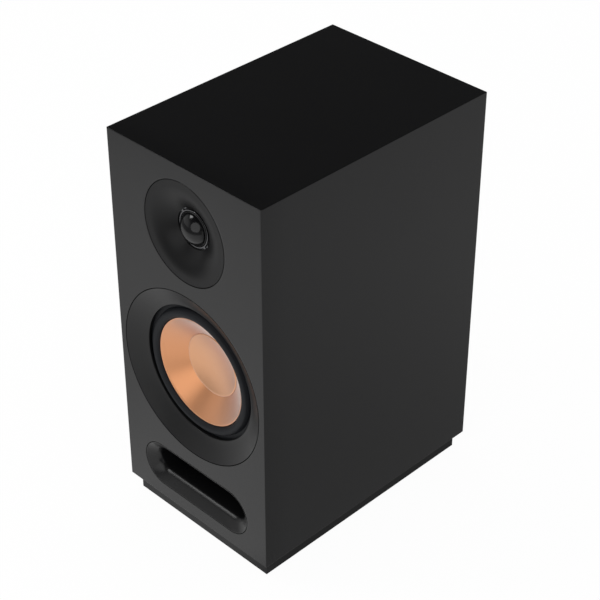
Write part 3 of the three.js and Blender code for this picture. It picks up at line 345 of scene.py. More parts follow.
def folded_board(name, length, place):
    """A mitred board: an outline of two eighth-round edges, outer face, mitres and inner face, carried in
    depth. Its points are base + out * way; out falls from the edge radius to nothing round the rear edge."""
    half = length / 2
    arc = np.radians(np.linspace(45, 0, 4))
    right = places(np.sin(arc), np.cos(arc))
    left = right[::-1] * [-1, 1]
    face_x = np.linspace(half - flat_margin, flat_margin - half, 9)
    way = np.concatenate([right, np.tile([0, 1], (9, 1)), left, np.zeros((2, 2))])
    base = np.concatenate([
        np.tile([half - edge_round, -edge_round], (4, 1)),
        places(face_x, -edge_round),
        np.tile([edge_round - half, -edge_round], (4, 1)),
        [[wall - half, -wall], [half - wall, -wall]],
    ])
    t = np.linspace(0, np.pi / 2, 5)
    straight = np.linspace(wrap_front, wrap_back - flat_margin, 9)
    out = np.concatenate([np.full(9, edge_round), edge_round * np.cos(t)])
    depth = np.concatenate([straight, wrap_back - edge_round + edge_round * np.sin(t)])
    outline = base + out[:, None, None] * way
    x, z = place(outline[..., 0], outline[..., 1])
    return skin(name, [(places(x, depth[:, None], z), True)], close_ends=True)


half_width = baffle_high.x
wrap_boards = {
    "top": (2 * half_width, lambda s, q: (s, wrap_high + q)),
    "bottom": (2 * half_width, lambda s, q: (s, wrap_low - q)),
    "right": (wrap_high - wrap_low, lambda s, q: (half_width + q, wrap_middle + s)),
    "left": (wrap_high - wrap_low, lambda s, q: (-half_width - q, wrap_middle + s)),
}
for side, (length, place) in wrap_boards.items():
    board = folded_board(f"{side}_board", length, place)
    dress(board, black_vinyl, "cabinet", "black_vinyl", f"{side}_panel")


def repaint(material, slot, *nodes):
    """A CAD node whose shape is right keeps its mesh and gets a finished material."""
    for name in nodes:
        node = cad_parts[name]
        node.data.materials.clear()
        node.data.materials.append(material)


repaint(black_vinyl, "black_vinyl", "rear_panel")
repaint(grained("raw fibreboard", (0.36, 0.24, 0.14), 0.85, 900, 0.03, 0.22, 0.08),
        "fibreboard", "cross_brace")

# ------------------------ plinth
# A low moulded frame, set back from every side and screwed under the cabinet, so that the cabinet
# seems to float above its shelf. Its skin is a little coarser than the cabinet's wrap.

black_plastic = grained("black plastic", (0.005, 0.005, 0.0053), 0.45, 1900, 0.006, specular=0.3)
repaint(black_plastic, "black_plastic", "plinth")

# ------------------------ slot port
# One black moulding: a flat rim flush with the baffle, walls that slope in and roll over into the
# throat, and a tail. The duct behind it is a second moulding, plugged over the tail and glued.

port_width, port_height, port_corner = 118.2 * mm, 40.7 * mm, 20.25 * mm


def slot_rings(centre, steps, count=256):
    """Rounded rectangles on common rays from the centre, for steps of (half_width, half_height, corner, y).
    The rays go through points evenly spaced round the widest one, its corners included."""
    angle = full_turn(8 * count)
    rim = ring_at(Vector(), angle, *max(steps))
    travel = np.cumsum(np.linalg.norm(np.diff(rim, axis=0, append=rim[:1]), axis=1))
    ends = np.append(angle[1:], 2 * np.pi)
    angle = np.interp(np.linspace(0, travel[-1], count, endpoint=False), travel, ends)
    return np.stack([ring_at(centre, angle, *step) for step in steps])


def port_steps(insets, depths):
    """Steps of the port's mouldings: the rim's outline, moved in by each inset at each depth."""
    insets = np.asarray(insets) * mm
    return [(port_width / 2 - inset, port_height / 2 - inset, port_corner - inset, front_y + depth * mm)
            for inset, depth in zip(insets, depths)]


# The walls roll over into the throat: how far in they have come, and how deep they are there.
roll_in = [7.2, 7.5, 7.8, 8.2, 8.6, 9, 9.3, 9.6, 9.8, 9.9]
roll_depth = [4.77, 4.99, 5.28, 5.75, 6.26, 6.82, 7.32, 8, 8.8, 9.8]
flare_inset = np.concatenate([[10.2, 7.2, 7.2, 0.1, 0.1, 0.16, 0.3, 0.5, 0.65], roll_in, [10, 10.2, 10.2]])
flare_depth = np.concatenate([[40, 40, 8, 8, 0.2, 0.06, 0, 0, 0.06], roll_depth, [12, 25, 40]])
flare = skin("flare", [(slot_rings(port_centre, port_steps(flare_inset, flare_depth)), True)], sharp_over=50)
port_plastic = grained("port plastic", (0.004, 0.004, 0.0043), 0.28, 1900, 0.003, specular=0.44)
dress(flare, port_plastic, "cabinet", "black_plastic", "port_flare")

duct_steps = port_steps([6.9, 4.4, 4.4, 6.9, 6.9], [25, 25, 135, 135, 25])
duct = skin("duct", [(slot_rings(port_centre, duct_steps, 160), True)])
dress(duct, port_plastic, "cabinet", "black_plastic", "port_duct")

# ------------------------ tweeter
# A moulded face plate whose waveguide curves in to the dome, a thin bright ring that clamps the
# dome's soft edge, and behind them a plate, a ferrite ring, a vented yoke and a sealed rear cup.


def softened(outline, radius, steps=3):
    """Rounds each corner of a closed outline with the curve (1-t)^2 a + 2t(1-t) p + t^2 b, from a point a
    just before the corner p to a point b just after it, at most 0.4 of each side away."""
    corner = np.asarray(outline, float)
    to_last, to_next = np.roll(corner, 1, axis=0) - corner, np.roll(corner, -1, axis=0) - corner
    last, after = (np.linalg.norm(side, axis=1, keepdims=True) for side in (to_last, to_next))
    limit = np.broadcast_to(np.asarray(radius, float), len(corner))[:, None]
    a = corner + to_last / last * np.minimum(limit, 0.4 * last)
    b = corner + to_next / after * np.minimum(limit, 0.4 * after)
    t = np.linspace(0, 1, steps + 1)[None, :, None]
    curve = (1 - t) ** 2 * a[:, None] + 2 * t * (1 - t) * corner[:, None] + t**2 * b[:, None]
    return curve.reshape(-1, 2)


def round_axis(radius, depth, angle, centre, origin_y=front_y):
    """Points (x + r cos a, y + depth, z + r sin a) round the Y axis through a centre, from millimetres."""
    return places(centre.x + radius * mm * np.cos(angle), origin_y + depth * mm,
                  centre.z + radius * mm * np.sin(angle))


def turned(name, outline, centre, facets=160, origin_y=front_y, sharp_over=40):
    """A closed outline of (radius, depth) in millimetres carried round the Y axis through the centre."""
    outline = np.asarray(outline, float)
    outline = np.concatenate([outline, outline[:1]])
    angle = full_turn(facets)
    grid = round_axis(outline[:, :1], outline[:, 1:], angle, centre, origin_y)
    return skin(name, [(grid, True)], sharp_over=sharp_over)


# From the flat band, s = 0, to the throat, s = 1, the horn falls to 0.3 + 1.3 s + 7.9 s^1.9.
horn_mouth, horn_throat = 37, 16.7
s = np.linspace(0, 1, 26)[1:]
horn = places(horn_mouth + (horn_throat - horn_mouth) * s, 0.3 + 1.3 * s + 7.9 * s**1.9)
plate_face = [[41.95, 4], [41.95, 0.25], [41.7, 0], [37.3, 0.28], [37.1, 0.294]]
plate_back = [[16.7, 9.9], [16.7, 12.1], [31, 12.1], [34.4, 6], [34.4, 4]]
waveguide = turned("waveguide", [*plate_face, *horn, *plate_back], tweeter_centre, 192)
horn_plastic = grained("waveguide plastic", (0.0045, 0.0045, 0.0048), 0.36, 1900, 0.004, specular=0.24)
dress(waveguide, horn_plastic, "cabinet", "black_plastic", "tweeter_waveguide")


def ringed(group, place, scale):
    """Rings cut by a lathe round the Y axis, by the distance from it, with a fine uneven haze over them."""
    from_axis = vector_node(group, "LENGTH", vector_node(group, "MULTIPLY", place, (1, 0, 1)))
    rings = noise_node(group, wired(group, "CombineXYZ", {"X": from_axis}).outputs[0], scale, 3.0, 0.6)
    uneven = math_node(group, "ADD", rings, noise_node(group, place, 60.0, 4.0, 0.6))
    return uneven, uneven, rings


turning = pattern_group("lathe rings", ringed)


def lathe_cut(name, colour, roughness, centre, scale, depth, tint, spread, **shader_values):
    """A turned, spun or wound surface, its rings centred on its own axis."""
    return textured(name, turning, colour, roughness, scale, depth, tint, spread, centre, **shader_values)


clamp_front, clamp_thickness, clamp_bore, clamp_radius, lug_length = 9.4, 1.2, 14.15, 15.05, 1.35


def clamp_reach(angle):
    """The ring's outer radius at each angle, more across two lugs 2.4 wide at 135 and -45 degrees."""
    off = np.abs((angle - np.radians(135) + np.pi / 2) % np.pi - np.pi / 2)
    return clamp_radius + lug_length * np.clip((1.35 - off * 15.7) / 0.3, 0, 1)


angle = full_turn(720)
ring_section = softened([[0, 0], [1, 0], [1, clamp_thickness], [0, clamp_thickness]], 0.15)
ring_radius = clamp_bore + ring_section[:, :1] * (clamp_reach(angle) - clamp_bore)
ring_grid = round_axis(ring_radius, clamp_front + ring_section[:, 1:], angle, tweeter_centre)
clamp_ring = skin("clamp_ring", [(np.concatenate([ring_grid, ring_grid[:1]]), True)])
bright_metal = lathe_cut("bright metal", (0.13, 0.13, 0.135), 0.2, tweeter_centre, 1500,
                         0.002, 0.03, 0.03, metallic=1.0)
dress(clamp_ring, bright_metal, "cabinet", "bright_metal", "tweeter_clamp_ring")

dome_crown, dome_radius, dome_height, dome_foot, dome_wall = 1.7, 12.75, 6.34, 11.3, 0.4
dome_sphere = (dome_radius**2 + dome_height**2) / (2 * dome_height)
dome_span = np.arcsin(dome_radius / dome_sphere) * np.linspace(0, 1, 30)


def dome_face(radius, span):
    """Arc of a sphere about a point on the axis, from the crown out to the dome's edge."""
    return places(radius * np.sin(span), dome_crown + dome_sphere - radius * np.cos(span))


dome_skirt = [[dome_radius, dome_foot], [dome_radius - dome_wall, dome_foot]]
dome_outline = np.concatenate([dome_face(dome_sphere, dome_span), dome_skirt,
                               dome_face(dome_sphere - dome_wall, dome_span[::-1])])
dome = turned("dome", dome_outline, tweeter_centre, 128)
dome_gloss = grained("dome lacquer", (0.004, 0.004, 0.0045), 0.12, 2600, 0.001, 0.1, 0.02, specular=0.44)
dress(dome, dome_gloss, "tweeter_diaphragm", "dome_black", "tweeter_dome")


def vertex_places(piece):
    """Where a piece's points are, as rows of XYZ."""
    place = np.empty(len(piece.data.vertices) * 3)
    piece.data.vertices.foreach_get("co", place)
    return place.reshape(-1, 3)


def flexing(piece):
    """Bakes the piece's placement into its points and reads where they are."""
    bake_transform(piece)
    place = vertex_places(piece)


def fit_flexing(piece, material, node):
    """Gives a piece its material and hides its CAD node; the piece is put on no body."""
    piece.data.materials.append(material)
    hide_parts(node)


# The soft edge's roll leans: it starts high on the dome's skirt and ends on the flat rim under the ring.
roll_angle = np.linspace(np.pi, 0, 12)
roll_depth = np.linspace(9.0, 10.7, 12) - 0.6 * np.sin(roll_angle)
crown = places(13.5 + 0.5 * np.cos(roll_angle), roll_depth)
hollow = crown + [0, 0.3]
edge_outline = [*crown, [15.6, 10.7], [15.6, 11.2], [13.75, 11.2], *hollow[::-1]]
dome_edge = turned("dome_surround", edge_outline, tweeter_centre, 128)
flexing(dome_edge)
soft_black = grained("coated cloth edge", (0.0045, 0.0045, 0.005), 0.5, 2400, 0.006)
fit_flexing(dome_edge, soft_black, "tweeter_dome_surround")

ferrite = grained("ferrite", (0.045, 0.045, 0.05), 0.7, 1200, 0.03, 0.2, 0.08)
zinc = lathe_cut("zinc plate", (0.5, 0.51, 0.53), 0.36, woofer_centre, 900, 0.003, 0.06, 0.07, metallic=1.0)
winding = grained("enamelled winding", (0.42, 0.14, 0.05), 0.32, 2600, 0.03, 0.25, 0.08, metallic=1.0)
repaint(ferrite, "ferrite", "tweeter_magnet")
repaint(zinc, "zinc_steel", "tweeter_top_plate", "tweeter_yoke")
repaint(winding, "copper_wire", "tweeter_voice_coil")
repaint(black_plastic, "black_plastic", "tweeter_rear_chamber")

# ------------------------ woofer trim ring
# A dished ring of satin black plastic that snaps over the basket's flange and hides its screws.
# It starts flush with the baffle and falls to a rounded lip just in front of the surround.

trim_radius, trim_skirt, trim_foot, trim_wall = 74.2, 72.3, 16.4, 2
lip_radius, lip_depth, lip_roll = 57.6, 8.2, 0.9
s = np.linspace(0, 1, 24)
dish_radius = trim_radius + (lip_radius - trim_radius) * s
dish_depth = lip_depth * (1 - (1 - s) ** 1.1)
dish = places(dish_radius, dish_depth)
lip_turn = np.linspace(np.radians(25), np.radians(80), 6)
lip = places(lip_radius - lip_roll * (np.sin(lip_turn) - np.sin(lip_turn[0])),
             lip_depth + lip_roll * (np.cos(lip_turn[0]) - np.cos(lip_turn)))
under = places(np.minimum(dish_radius, trim_skirt), dish_depth + trim_wall)[::-1]
trim_outline = [[trim_radius, 0.35], [74.05, 0.08], *dish[1:], *lip[1:], [57, 10.6], [57.9, 10.6],
                *under[1:-1], [trim_skirt, 2.2], [trim_skirt, trim_foot], [trim_radius, trim_foot]]
trim_ring = turned("trim_ring", trim_outline, woofer_centre, 256)
trim_plastic = grained("trim plastic", (0.004, 0.004, 0.0043), 0.34, 1900, 0.004, specular=0.43)
dress(trim_ring, trim_plastic, "cabinet", "black_plastic", "woofer_trim_ring")

# ------------------------ woofer cone and surround
# A spun copper-coloured metal cone with an inverted cap of the same metal glued into it. A half-roll
# of blue-black rubber is glued behind the cone's edge and onto the basket's landing.

cone_edge, cone_neck, cone_depth, cone_wall = 45.5, 13.2, 9.5, 1.22
cone_slope = np.tan(np.radians(35))
cone_radius = np.linspace(cone_edge, cone_neck, 40)
cone_front = places(cone_radius, cone_depth + (cone_edge - cone_radius) * cone_slope)
cone_outline = [[cone_edge, 9.9], *cone_front[1:], *(cone_front[::-1] + [0, cone_wall])]
cone = turned("cone", cone_outline, woofer_centre, 256)
spun = {"group": turning, "roughness": 0.35, "scale": 1400, "depth": 0.0015, "tint": 0.015,
        "spread": 0.02, "centre": woofer_centre, "metallic": 1.0, "coat": 0.8, "coat_roughness": 0.3,
        "edge_tint": (0.42, 0.42, 0.42, 1)}
copper = textured("spun copper", colour=(0.85, 0.36, 0.15), sheen=0.7, **spun)
dress(cone, copper, "woofer_diaphragm", "copper_cone", "woofer_cone")

# The cap is a shallow bowl, deepest in its middle, on a thin bead of glue.
cap_radius, cap_rim, cap_bowl, cap_wall = 26, 22.05, 5, 0.8
cap_share = np.linspace(0, 1, 30)
cap_front = places(cap_radius * cap_share, cap_rim + cap_bowl * (1 - cap_share**2))
glue_bead = [[26.2, 22.08], [26.5, 22.22], [26.75, 22.5], [26.6, 22.7], [26, 22.85]]
cap_outline = [*cap_front, *glue_bead, *(cap_front[-2::-1] + [0, cap_wall])]
dust_cap = turned("dust_cap", cap_outline, woofer_centre, 192)
# The cap's copper is painted paler and whiter than the cone's: a painted sheen that stands in for the whiter
# reflection of the same metal.
sheen_painted_copper = textured("spun copper with painted sheen", colour=(0.87, 0.43, 0.21), sheen=0.75, **spun)
dress(dust_cap, sheen_painted_copper, "woofer_diaphragm", "copper_cone", "woofer_dust_cap")

roll_angle = np.linspace(np.pi, 0, 40)
roll = places(np.cos(roll_angle), -np.sin(roll_angle))
roll_centre, roll_outside, roll_inside = [49.9, 11.3], 4.05, 3.25
crown, hollow = roll_centre + roll_outside * roll, roll_centre + roll_inside * roll
# The roll's outer flank is drawn in a little.
crown[roll_angle < 1, 0] -= 0.35 * np.sin(np.pi * roll_angle[roll_angle < 1])
surround_outline = [*crown, [54, 11.9], [59, 11.9], [59, 12.6], [53.15, 12.6], *hollow[::-1],
                    [46.65, 12.1], [43, 13.58], [43, 12.78]]
surround = turned("surround", surround_outline, woofer_centre, 256)
flexing(surround)
blue_black_rubber = grained("blue-black rubber", (0.007, 0.008, 0.0105), 0.6, 1700, 0.006, specular=0.26)
fit_flexing(surround, blue_black_rubber, "woofer_surround")

# The spider is pressed cloth with three full waves between two flat rings.
wave_start, wave_end, wave_height, cloth_wall = 15.2, 40, 1.6, 0.8
wave_radius = np.linspace(wave_start, wave_end, 60)
wave = wave_height * np.sin((wave_radius - wave_start) / (wave_end - wave_start) * 6 * np.pi)
spider_radius = np.concatenate([[cone_neck], wave_radius, [44.6]])
spider_depth = 37.32 - np.concatenate([[0], wave, [0]])
spider_front = places(spider_radius, spider_depth - cloth_wall / 2)
spider_outline = [*spider_front, *(spider_front[::-1] + [0, cloth_wall])]
spider = turned("spider", spider_outline, woofer_centre, 160, sharp_over=70)
flexing(spider)


def threaded(group, place, scale):
    """Two sets of threads, over and under, at right angles on the surface, with some fluff."""
    along = wired(group, "SeparateXYZ", [place]).outputs
    diagonal = math_node(group, "ADD", along["X"], along["Y"])
    warp, weft = (math_node(group, "SINE", math_node(group, "MULTIPLY", way, scale))
                  for way in (diagonal, along["Z"]))
    fluff = noise_node(group, place, 300.0, 4.0, 0.7)
    crossing = math_node(group, "ADD", math_node(group, "MULTIPLY", warp, weft), fluff)
    return crossing, fluff, crossing


weave = pattern_group("woven threads", threaded)


def woven(name, colour, roughness, scale, depth, tint=0.15, spread=0.08, **shader_values):
    """A cloth, braid or felt."""
    return textured(name, weave, colour, roughness, scale, depth, tint, spread, **shader_values)


spider_cloth = woven("resin-stiffened cloth", (0.52, 0.36, 0.13), 0.85, 5200, 0.08)
fit_flexing(spider, spider_cloth, "woofer_spider")

repaint(lathe_cut("amber film", (0.42, 0.17, 0.04), 0.35, woofer_centre, 700, 0.004, 0.1, 0.05),
        "kapton", "woofer_former")
repaint(winding, "copper_wire", "woofer_voice_coil")

# ------------------------ woofer basket and motor
# A black-painted casting holds the surround, the spider and the motor: plate, ferrite ring and yoke,
# glued and staked together. Four screws under the trim ring pull it onto a foam gasket.

repaint(grained("painted casting", (0.02, 0.02, 0.022), 0.5, 700, 0.06, 0.2, 0.08),
        "cast_basket", "woofer_basket")
repaint(grained("closed-cell foam", (0.02, 0.02, 0.02), 0.9, 1500, 0.1, 0.3, 0.05), "foam", "woofer_gasket")
repaint(zinc, "zinc_steel", "woofer_top_plate", "woofer_yoke", *[f"woofer_screw_{i}" for i in range(1, 5)])
repaint(ferrite, "ferrite", "woofer_magnet")
repaint(grained("phenolic board", (0.24, 0.11, 0.04), 0.55, 500, 0.01, 0.2, 0.06),
        "brown_board", "woofer_terminal_strip")

lead_radius = 0.6 * mm


def smooth_line(points, count):
    """A curve through the points: on each stretch the cubic whose end slopes are half the way between the
    neighbouring points, 0.5 * (2b + (c-a)t + (2a-5b+4c-d)t^2 + (3b-a-3c+d)t^3)."""
    points = np.asarray(points, float)
    padded = np.concatenate([[2 * points[0] - points[1]], points, [2 * points[-1] - points[-2]]])
    where = np.linspace(0, len(points) - 1 - 1e-9, count)
    i = where.astype(int)
    t = (where - i)[:, None]
    a, b, c, d = (padded[i + k] for k in range(4))
    return 0.5 * (2 * b + (c - a) * t + (2 * a - 5 * b + 4 * c - d) * t**2 + (3 * b - a - 3 * c + d) * t**3)


def flat_tube(line, radius, sides=16):
    """A tube round a line that lies in a plane of one X: the section at each point is the X axis times cos a
    plus the direction square to both X and the line times sin a, and the ends close to a point."""
    along = np.gradient(line, axis=0)
    along /= np.linalg.norm(along, axis=1, keepdims=True)
    across = np.array([1.0, 0, 0])
    out = np.cross(along, across)
    a = full_turn(sides)
    ring = across * np.cos(a)[:, None] + out[:, None] * np.sin(a)[:, None]
    tube = line[:, None] + radius * ring
    start, end = np.repeat(line[:1, None], sides, axis=1), np.repeat(line[-1:, None], sides, axis=1)
    return np.concatenate([start, tube, end])


braid_copper = woven("tinned copper braid", (0.62, 0.36, 0.24), 0.4, 9000, 0.05, metallic=1.0)
# A lead lies in one plane: (depth, height) of its foot on the strip, the way to the cone, and its bends
# as shares of that way.
lead_foot = np.array([49.7, -47.8])
lead_way = np.array([27.3, -24.0]) - lead_foot
lead_bends = np.array([[0, 0], [0.34, -0.08], [0.61, -0.13], [0.88, 0], [0.945, 0.4], [0.88, 0.83], [1, 1]])
for i, lead_x in enumerate((-7, 7), start=1):
    depth_height = lead_foot + lead_bends * lead_way
    route = places(lead_x, *depth_height.T) * mm + [0, front_y, woofer_centre.z]
    line = smooth_line(route, 70)
    lead = skin(f"tinsel_lead_{i}", [(flat_tube(line, lead_radius), True)])
    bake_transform(lead)
    nearest = np.argmin(np.linalg.norm(vertex_places(lead)[:, None] - line, axis=2), axis=1)
    fit_flexing(lead, braid_copper, f"woofer_tinsel_lead_{i}")

# ------------------------ rear panel and terminal cup
# A black moulded cup let into the rear panel holds the two binding posts out of harm's way. Its
# flange sits in a rebate, flush with the panel, and four countersunk screws pass through it.

cup_centre = box_middle(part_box("terminal_cup"))
# Half width, half height, corner and level of each ring, from the flange in to the floor and back again.
cup_outline = [
    (50.5, 35.5, 8.5, 114), (50.5, 35.5, 8.5, 116.6), (50.38, 35.38, 8.4, 116.88), (50.1, 35.1, 8.1, 117),
    (38.7, 23.7, 6.7, 117), (38.3, 23.3, 6.3, 116.9), (38.08, 23.08, 6.1, 116.6), (38, 23, 6, 116.1),
    (37.7, 22.7, 5.7, 94.2), (37.4, 22.4, 5.4, 93.4), (36.8, 21.8, 4.8, 93), (20, 10, 4.8, 93), (0, 0, 0, 93),
    (0, 0, 0, 90.5), (39.6, 24.6, 7.6, 90.5), (40.5, 25.5, 8.5, 91.4), (40.5, 25.5, 8.5, 114),
    (50.5, 35.5, 8.5, 114),
]
cup_steps = [tuple(size * mm for size in step) for step in cup_outline]
cup = skin("cup", [(slot_rings(cup_centre, cup_steps, 224), True)])


def axis_at(x, z):
    """A point of the terminal group's own frame, in millimetres from the cup's middle, in the whole frame."""
    return Vector((x * mm, 0, cup_centre.z + z * mm))


def as_it_shows(piece):
    """A new mesh of the piece with its modifiers worked in."""
    return bpy.data.meshes.new_from_object(piece.evaluated_get(bpy.context.evaluated_depsgraph_get()))


def bored(piece, cutters):
    """The piece with each cutter's space taken out of it, and the cutters gone."""
    for cutter in cutters:
        hole = piece.modifiers.new("hole", "BOOLEAN")
        hole.operation = "DIFFERENCE"
        hole.solver = "EXACT"
        hole.object = cutter
    piece.data = as_it_shows(piece)
    piece.modifiers.clear()
    for cutter in cutters:
        bpy.data.objects.remove(cutter)
    piece.data.shade_smooth()
    piece.data.set_sharp_from_angle(angle=np.radians(35))


screw_places = [(-44.1, -29.1), (44.1, -29.1), (44.1, 29.1), (-44.1, 29.1)]
post_places = {"positive": -16, "negative": 16}
sink = [[0, 118], [3.75, 118], [3.75, 116.95], [2.05, 115.1], [2.05, 112], [0, 112]]
stud_hole = [[0, 88], [3.3, 88], [3.3, 95], [0, 95]]
cutters = [turned("sink", sink, axis_at(x, z), 48, origin_y=0) for x, z in screw_places]
cutters += [turned("hole", stud_hole, axis_at(x, 0), 48, origin_y=0) for x in post_places.values()]
bored(cup, cutters)
cup_plastic = grained("cup plastic", (0.010, 0.010, 0.0105), 0.42, 1500, 0.01, 0.12, 0.06)
dress(cup, cup_plastic, "cabinet", "black_plastic", "terminal_cup")
for i, (x, z) in enumerate([(-32, -17), (32, -17), (32, 17), (-32, 17)], start=1):
    standoff = turned(f"standoff_{i}", softened([[0.9, 83.5], [3.5, 83.5], [3.5, 90.5], [0.9, 90.5]], 0.3),
                      axis_at(x, z), 40, origin_y=0)
    dress(standoff, cup_plastic, "cabinet", "black_plastic")


def cross_head(name, centre, head_radius=3.6):
    """A countersunk screw: rings of points at (radius, level), where the rings of the flat head inside the
    cross dip by up to 1.5 mm. The cross is the nearer of two slots, each 1.1 wide and 4 long."""
    angle = full_turn(96)
    radius = np.concatenate([np.linspace(0, 2.3, 24), [3.3, head_radius, 1.9, 1.6, 1.6, 0]])
    level = np.concatenate([np.full(24, 116.95), [116.95, 116.8, 115.15, 114.8, 104.1, 104.1]])
    x, z = radius[:, None] * np.cos(angle), radius[:, None] * np.sin(angle)
    narrow = np.minimum(np.abs(x), np.abs(z))
    across, along = np.clip((0.6 - narrow) / 0.25, 0, 1), np.clip((2.1 - radius[:, None]) / 0.25, 0, 1)
    dip = 1.5 * across * along
    dip[24:] = 0
    grid = places(centre.x + x * mm, (level[:, None] - dip) * mm, centre.z + z * mm)
    return skin(name, [(grid, True)])


screw_steel = grained("black-zinc screw", (0.09, 0.09, 0.095), 0.3, 2500, 0.004, 0.1, 0.08, metallic=1.0)
for i, (x, z) in enumerate(screw_places, start=1):
    screw = cross_head(f"cup_screw_{i}", axis_at(x, z))
    dress(screw, screw_steel, "cabinet", "zinc_steel", f"terminal_screw_{i}")

# ------------------------ binding posts
# Two gold-plated brass studs pass through the cup's floor to the board. A fluted cap, red or black,
# runs on each stud's thread and drives a loose washer down onto the bare wire.

gold = grained("gold plate", (0.86, 0.58, 0.22), 0.2, 1800, 0.003, 0.05, 0.06, metallic=1.0)
red_plastic = grained("red plastic", (0.42, 0.012, 0.010), 0.34, 1500, 0.006, 0.08, 0.06)
cap_black = grained("black cap plastic", (0.014, 0.014, 0.015), 0.36, 1500, 0.006, 0.12, 0.06)
cap_plastics = {"positive": (red_plastic, "red_plastic"), "negative": (cap_black, "black_plastic")}


def fluted(name, centre, flutes=24):
    """The cap's outline carried round its axis, its barrel sunk by 0.55 * (0.5 + 0.5 cos(flutes * a))^2
    between two plain collars, over which the flutes fade in."""
    barrel = np.linspace(99.6, 110.1, 22)
    outline = np.concatenate([
        [[3.3, 98.9], [3.6, 98.6], [6.9, 98.6], [7.2, 98.75]],
        places(8, barrel),
        [[7.6, 110.75], [6.9, 111.4], [6.5, 111.6], [3.75, 111.6], [3.3, 111.2], [3.3, 98.9]],
    ])
    angle = full_turn(flutes * 12)
    groove = 0.55 * (0.5 + 0.5 * np.cos(flutes * angle)) ** 2
    fade = np.clip((outline[:, 1] - 100.6) / 0.7, 0, 1) * np.clip((109.3 - outline[:, 1]) / 0.7, 0, 1)
    fade = np.where(outline[:, 0] > 7.9, fade, 0)
    radius = outline[:, :1] - fade[:, None] * groove
    return skin(name, [(round_axis(radius, outline[:, 1:], angle, centre, 0), True)])


stud_outline = [[0, 79.9], [3, 79.9], [3, 93], [7, 93], [7, 96], [3, 96], [3, 108.6], [2.05, 108.6],
                [2.05, 92.6], [0, 92.6]]
stud_rounding = [0, 0.4, 0, 0.1, 0.5, 0.1, 0.3, 0.2, 0, 0]
for polarity, x in post_places.items():
    post_centre = axis_at(x, 0)
    stud = turned(f"{polarity}_post", softened(stud_outline, stud_rounding), post_centre, 96, origin_y=0)
    dress(stud, gold, "cabinet", "gold_plate", f"{polarity}_stud")
    washer_outline = softened([[3.3, 96.3], [7, 96.3], [7, 98.3], [3.3, 98.3]], 0.35)
    washer = turned(f"{polarity}_washer", washer_outline, post_centre, 96, origin_y=0)
    dress(washer, gold, f"{polarity}_clamp", "gold_plate", f"{polarity}_clamp_washer")
    cap_plastic, cap_slot = cap_plastics[polarity]
    dress(fluted(f"{polarity}_grip_cap", post_centre), cap_plastic, f"{polarity}_grip", cap_slot,
          f"{polarity}_cap")
repaint(zinc, "zinc_steel", "positive_nut", "negative_nut")

# ------------------------ crossover
# A green board on the cup's standoffs carries two air-cored inductors, two film capacitors and a
# cement resistor, with a twin cable soldered to it for each drive unit.

repaint(grained("solder-masked board", (0.02, 0.16, 0.05), 0.3, 240, 0.02, 0.18, 0.06),
        "green_board", "crossover_board")
repaint(winding, "copper_wire", "low_pass_inductor", "high_pass_inductor")
repaint(grained("blue sleeve", (0.03, 0.08, 0.34), 0.35, 400, 0.01, 0.1, 0.08),
        "capacitor_blue", "low_pass_capacitor")
repaint(grained("amber film", (0.62, 0.33, 0.05), 0.3, 400, 0.01, 0.1, 0.08),
        "capacitor_amber", "high_pass_capacitor")
repaint(grained("cement body", (0.62, 0.60, 0.54), 0.85, 900, 0.06, 0.12, 0.06), "ceramic", "resistor")
repaint(grained("cable sheath", (0.03, 0.03, 0.032), 0.5, 900, 0.02, 0.15, 0.08),
        "cable_sheath", "woofer_cable", "tweeter_cable")

# ------------------------ damping pad
# A thick pad of white polyester wadding, stapled to the rear panel above the crossover. It is cut
# square and springs out between its cut edges.

pad_low, pad_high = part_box("rear_wadding")
pad_centre, pad_half = (pad_low + pad_high) / 2, (pad_high - pad_low) / 2
# Rings from the front face round to the rear one: how far inside the pad's box, and how deep in it.
pad_inset = np.array([30, 14, 6, 4.6, 4.1, 4, 4, 4.1, 4.6, 6, 14, 30]) * mm
pad_level = np.array([3.6, 3.6, 3.6, 4.1, 5.2, 6.6, 23.4, 24.8, 25.9, 26.4, 26.4, 26.4]) * mm
pad_steps = [(pad_half.x - inset, pad_half.z - inset, 8 * mm, pad_low.y + level)
             for inset, level in zip(pad_inset, pad_level)]
pad_ends = [(0, 0, 0, pad_low.y + level) for level in pad_level[[0, -1]]]
pad = skin("wadding_pad", [(slot_rings(pad_centre, [pad_ends[0], *pad_steps, pad_ends[1]], 120), True)])


def swollen(piece, voxel, pressure, limit):
    """Cloth blown up from inside: the skin is remeshed, swells for twenty frames with no weight, and each
    point's move is then cut to the limit: place = start + move * min(1, limit / |move|)."""
    remesh = piece.modifiers.new("even skin", "REMESH")
    remesh.mode = "VOXEL"
    remesh.voxel_size = voxel
    piece.data = as_it_shows(piece)
    piece.modifiers.clear()
    start = vertex_places(piece)
    cloth = piece.modifiers.new("swell", "CLOTH")
    cloth.settings.use_pressure = True
    cloth.settings.uniform_pressure_force = pressure
    cloth.settings.effector_weights.gravity = 0
    for number in range(1, 21):
        bpy.context.scene.frame_set(number)
    piece.data = as_it_shows(piece)
    piece.modifiers.clear()
    move = vertex_places(piece) - start
    size = np.linalg.norm(move, axis=1, keepdims=True)
    place = start + move * np.minimum(1, limit / np.maximum(size, 1e-9))
    piece.data.vertices.foreach_set("co", place.ravel())
    bpy.context.scene.frame_set(1)


swollen(pad, 5 * mm, 4.0, 3.4 * mm)
pad.data.shade_smooth()
rounding = pad.modifiers.new("rounding", "SUBSURF")
rounding.levels = rounding.render_levels = 1
wadding = woven("polyester wadding", (0.82, 0.82, 0.80), 0.95, 900, 0.5, 0.06)
dress(pad, wadding, "cabinet", "wadding", "rear_wadding")
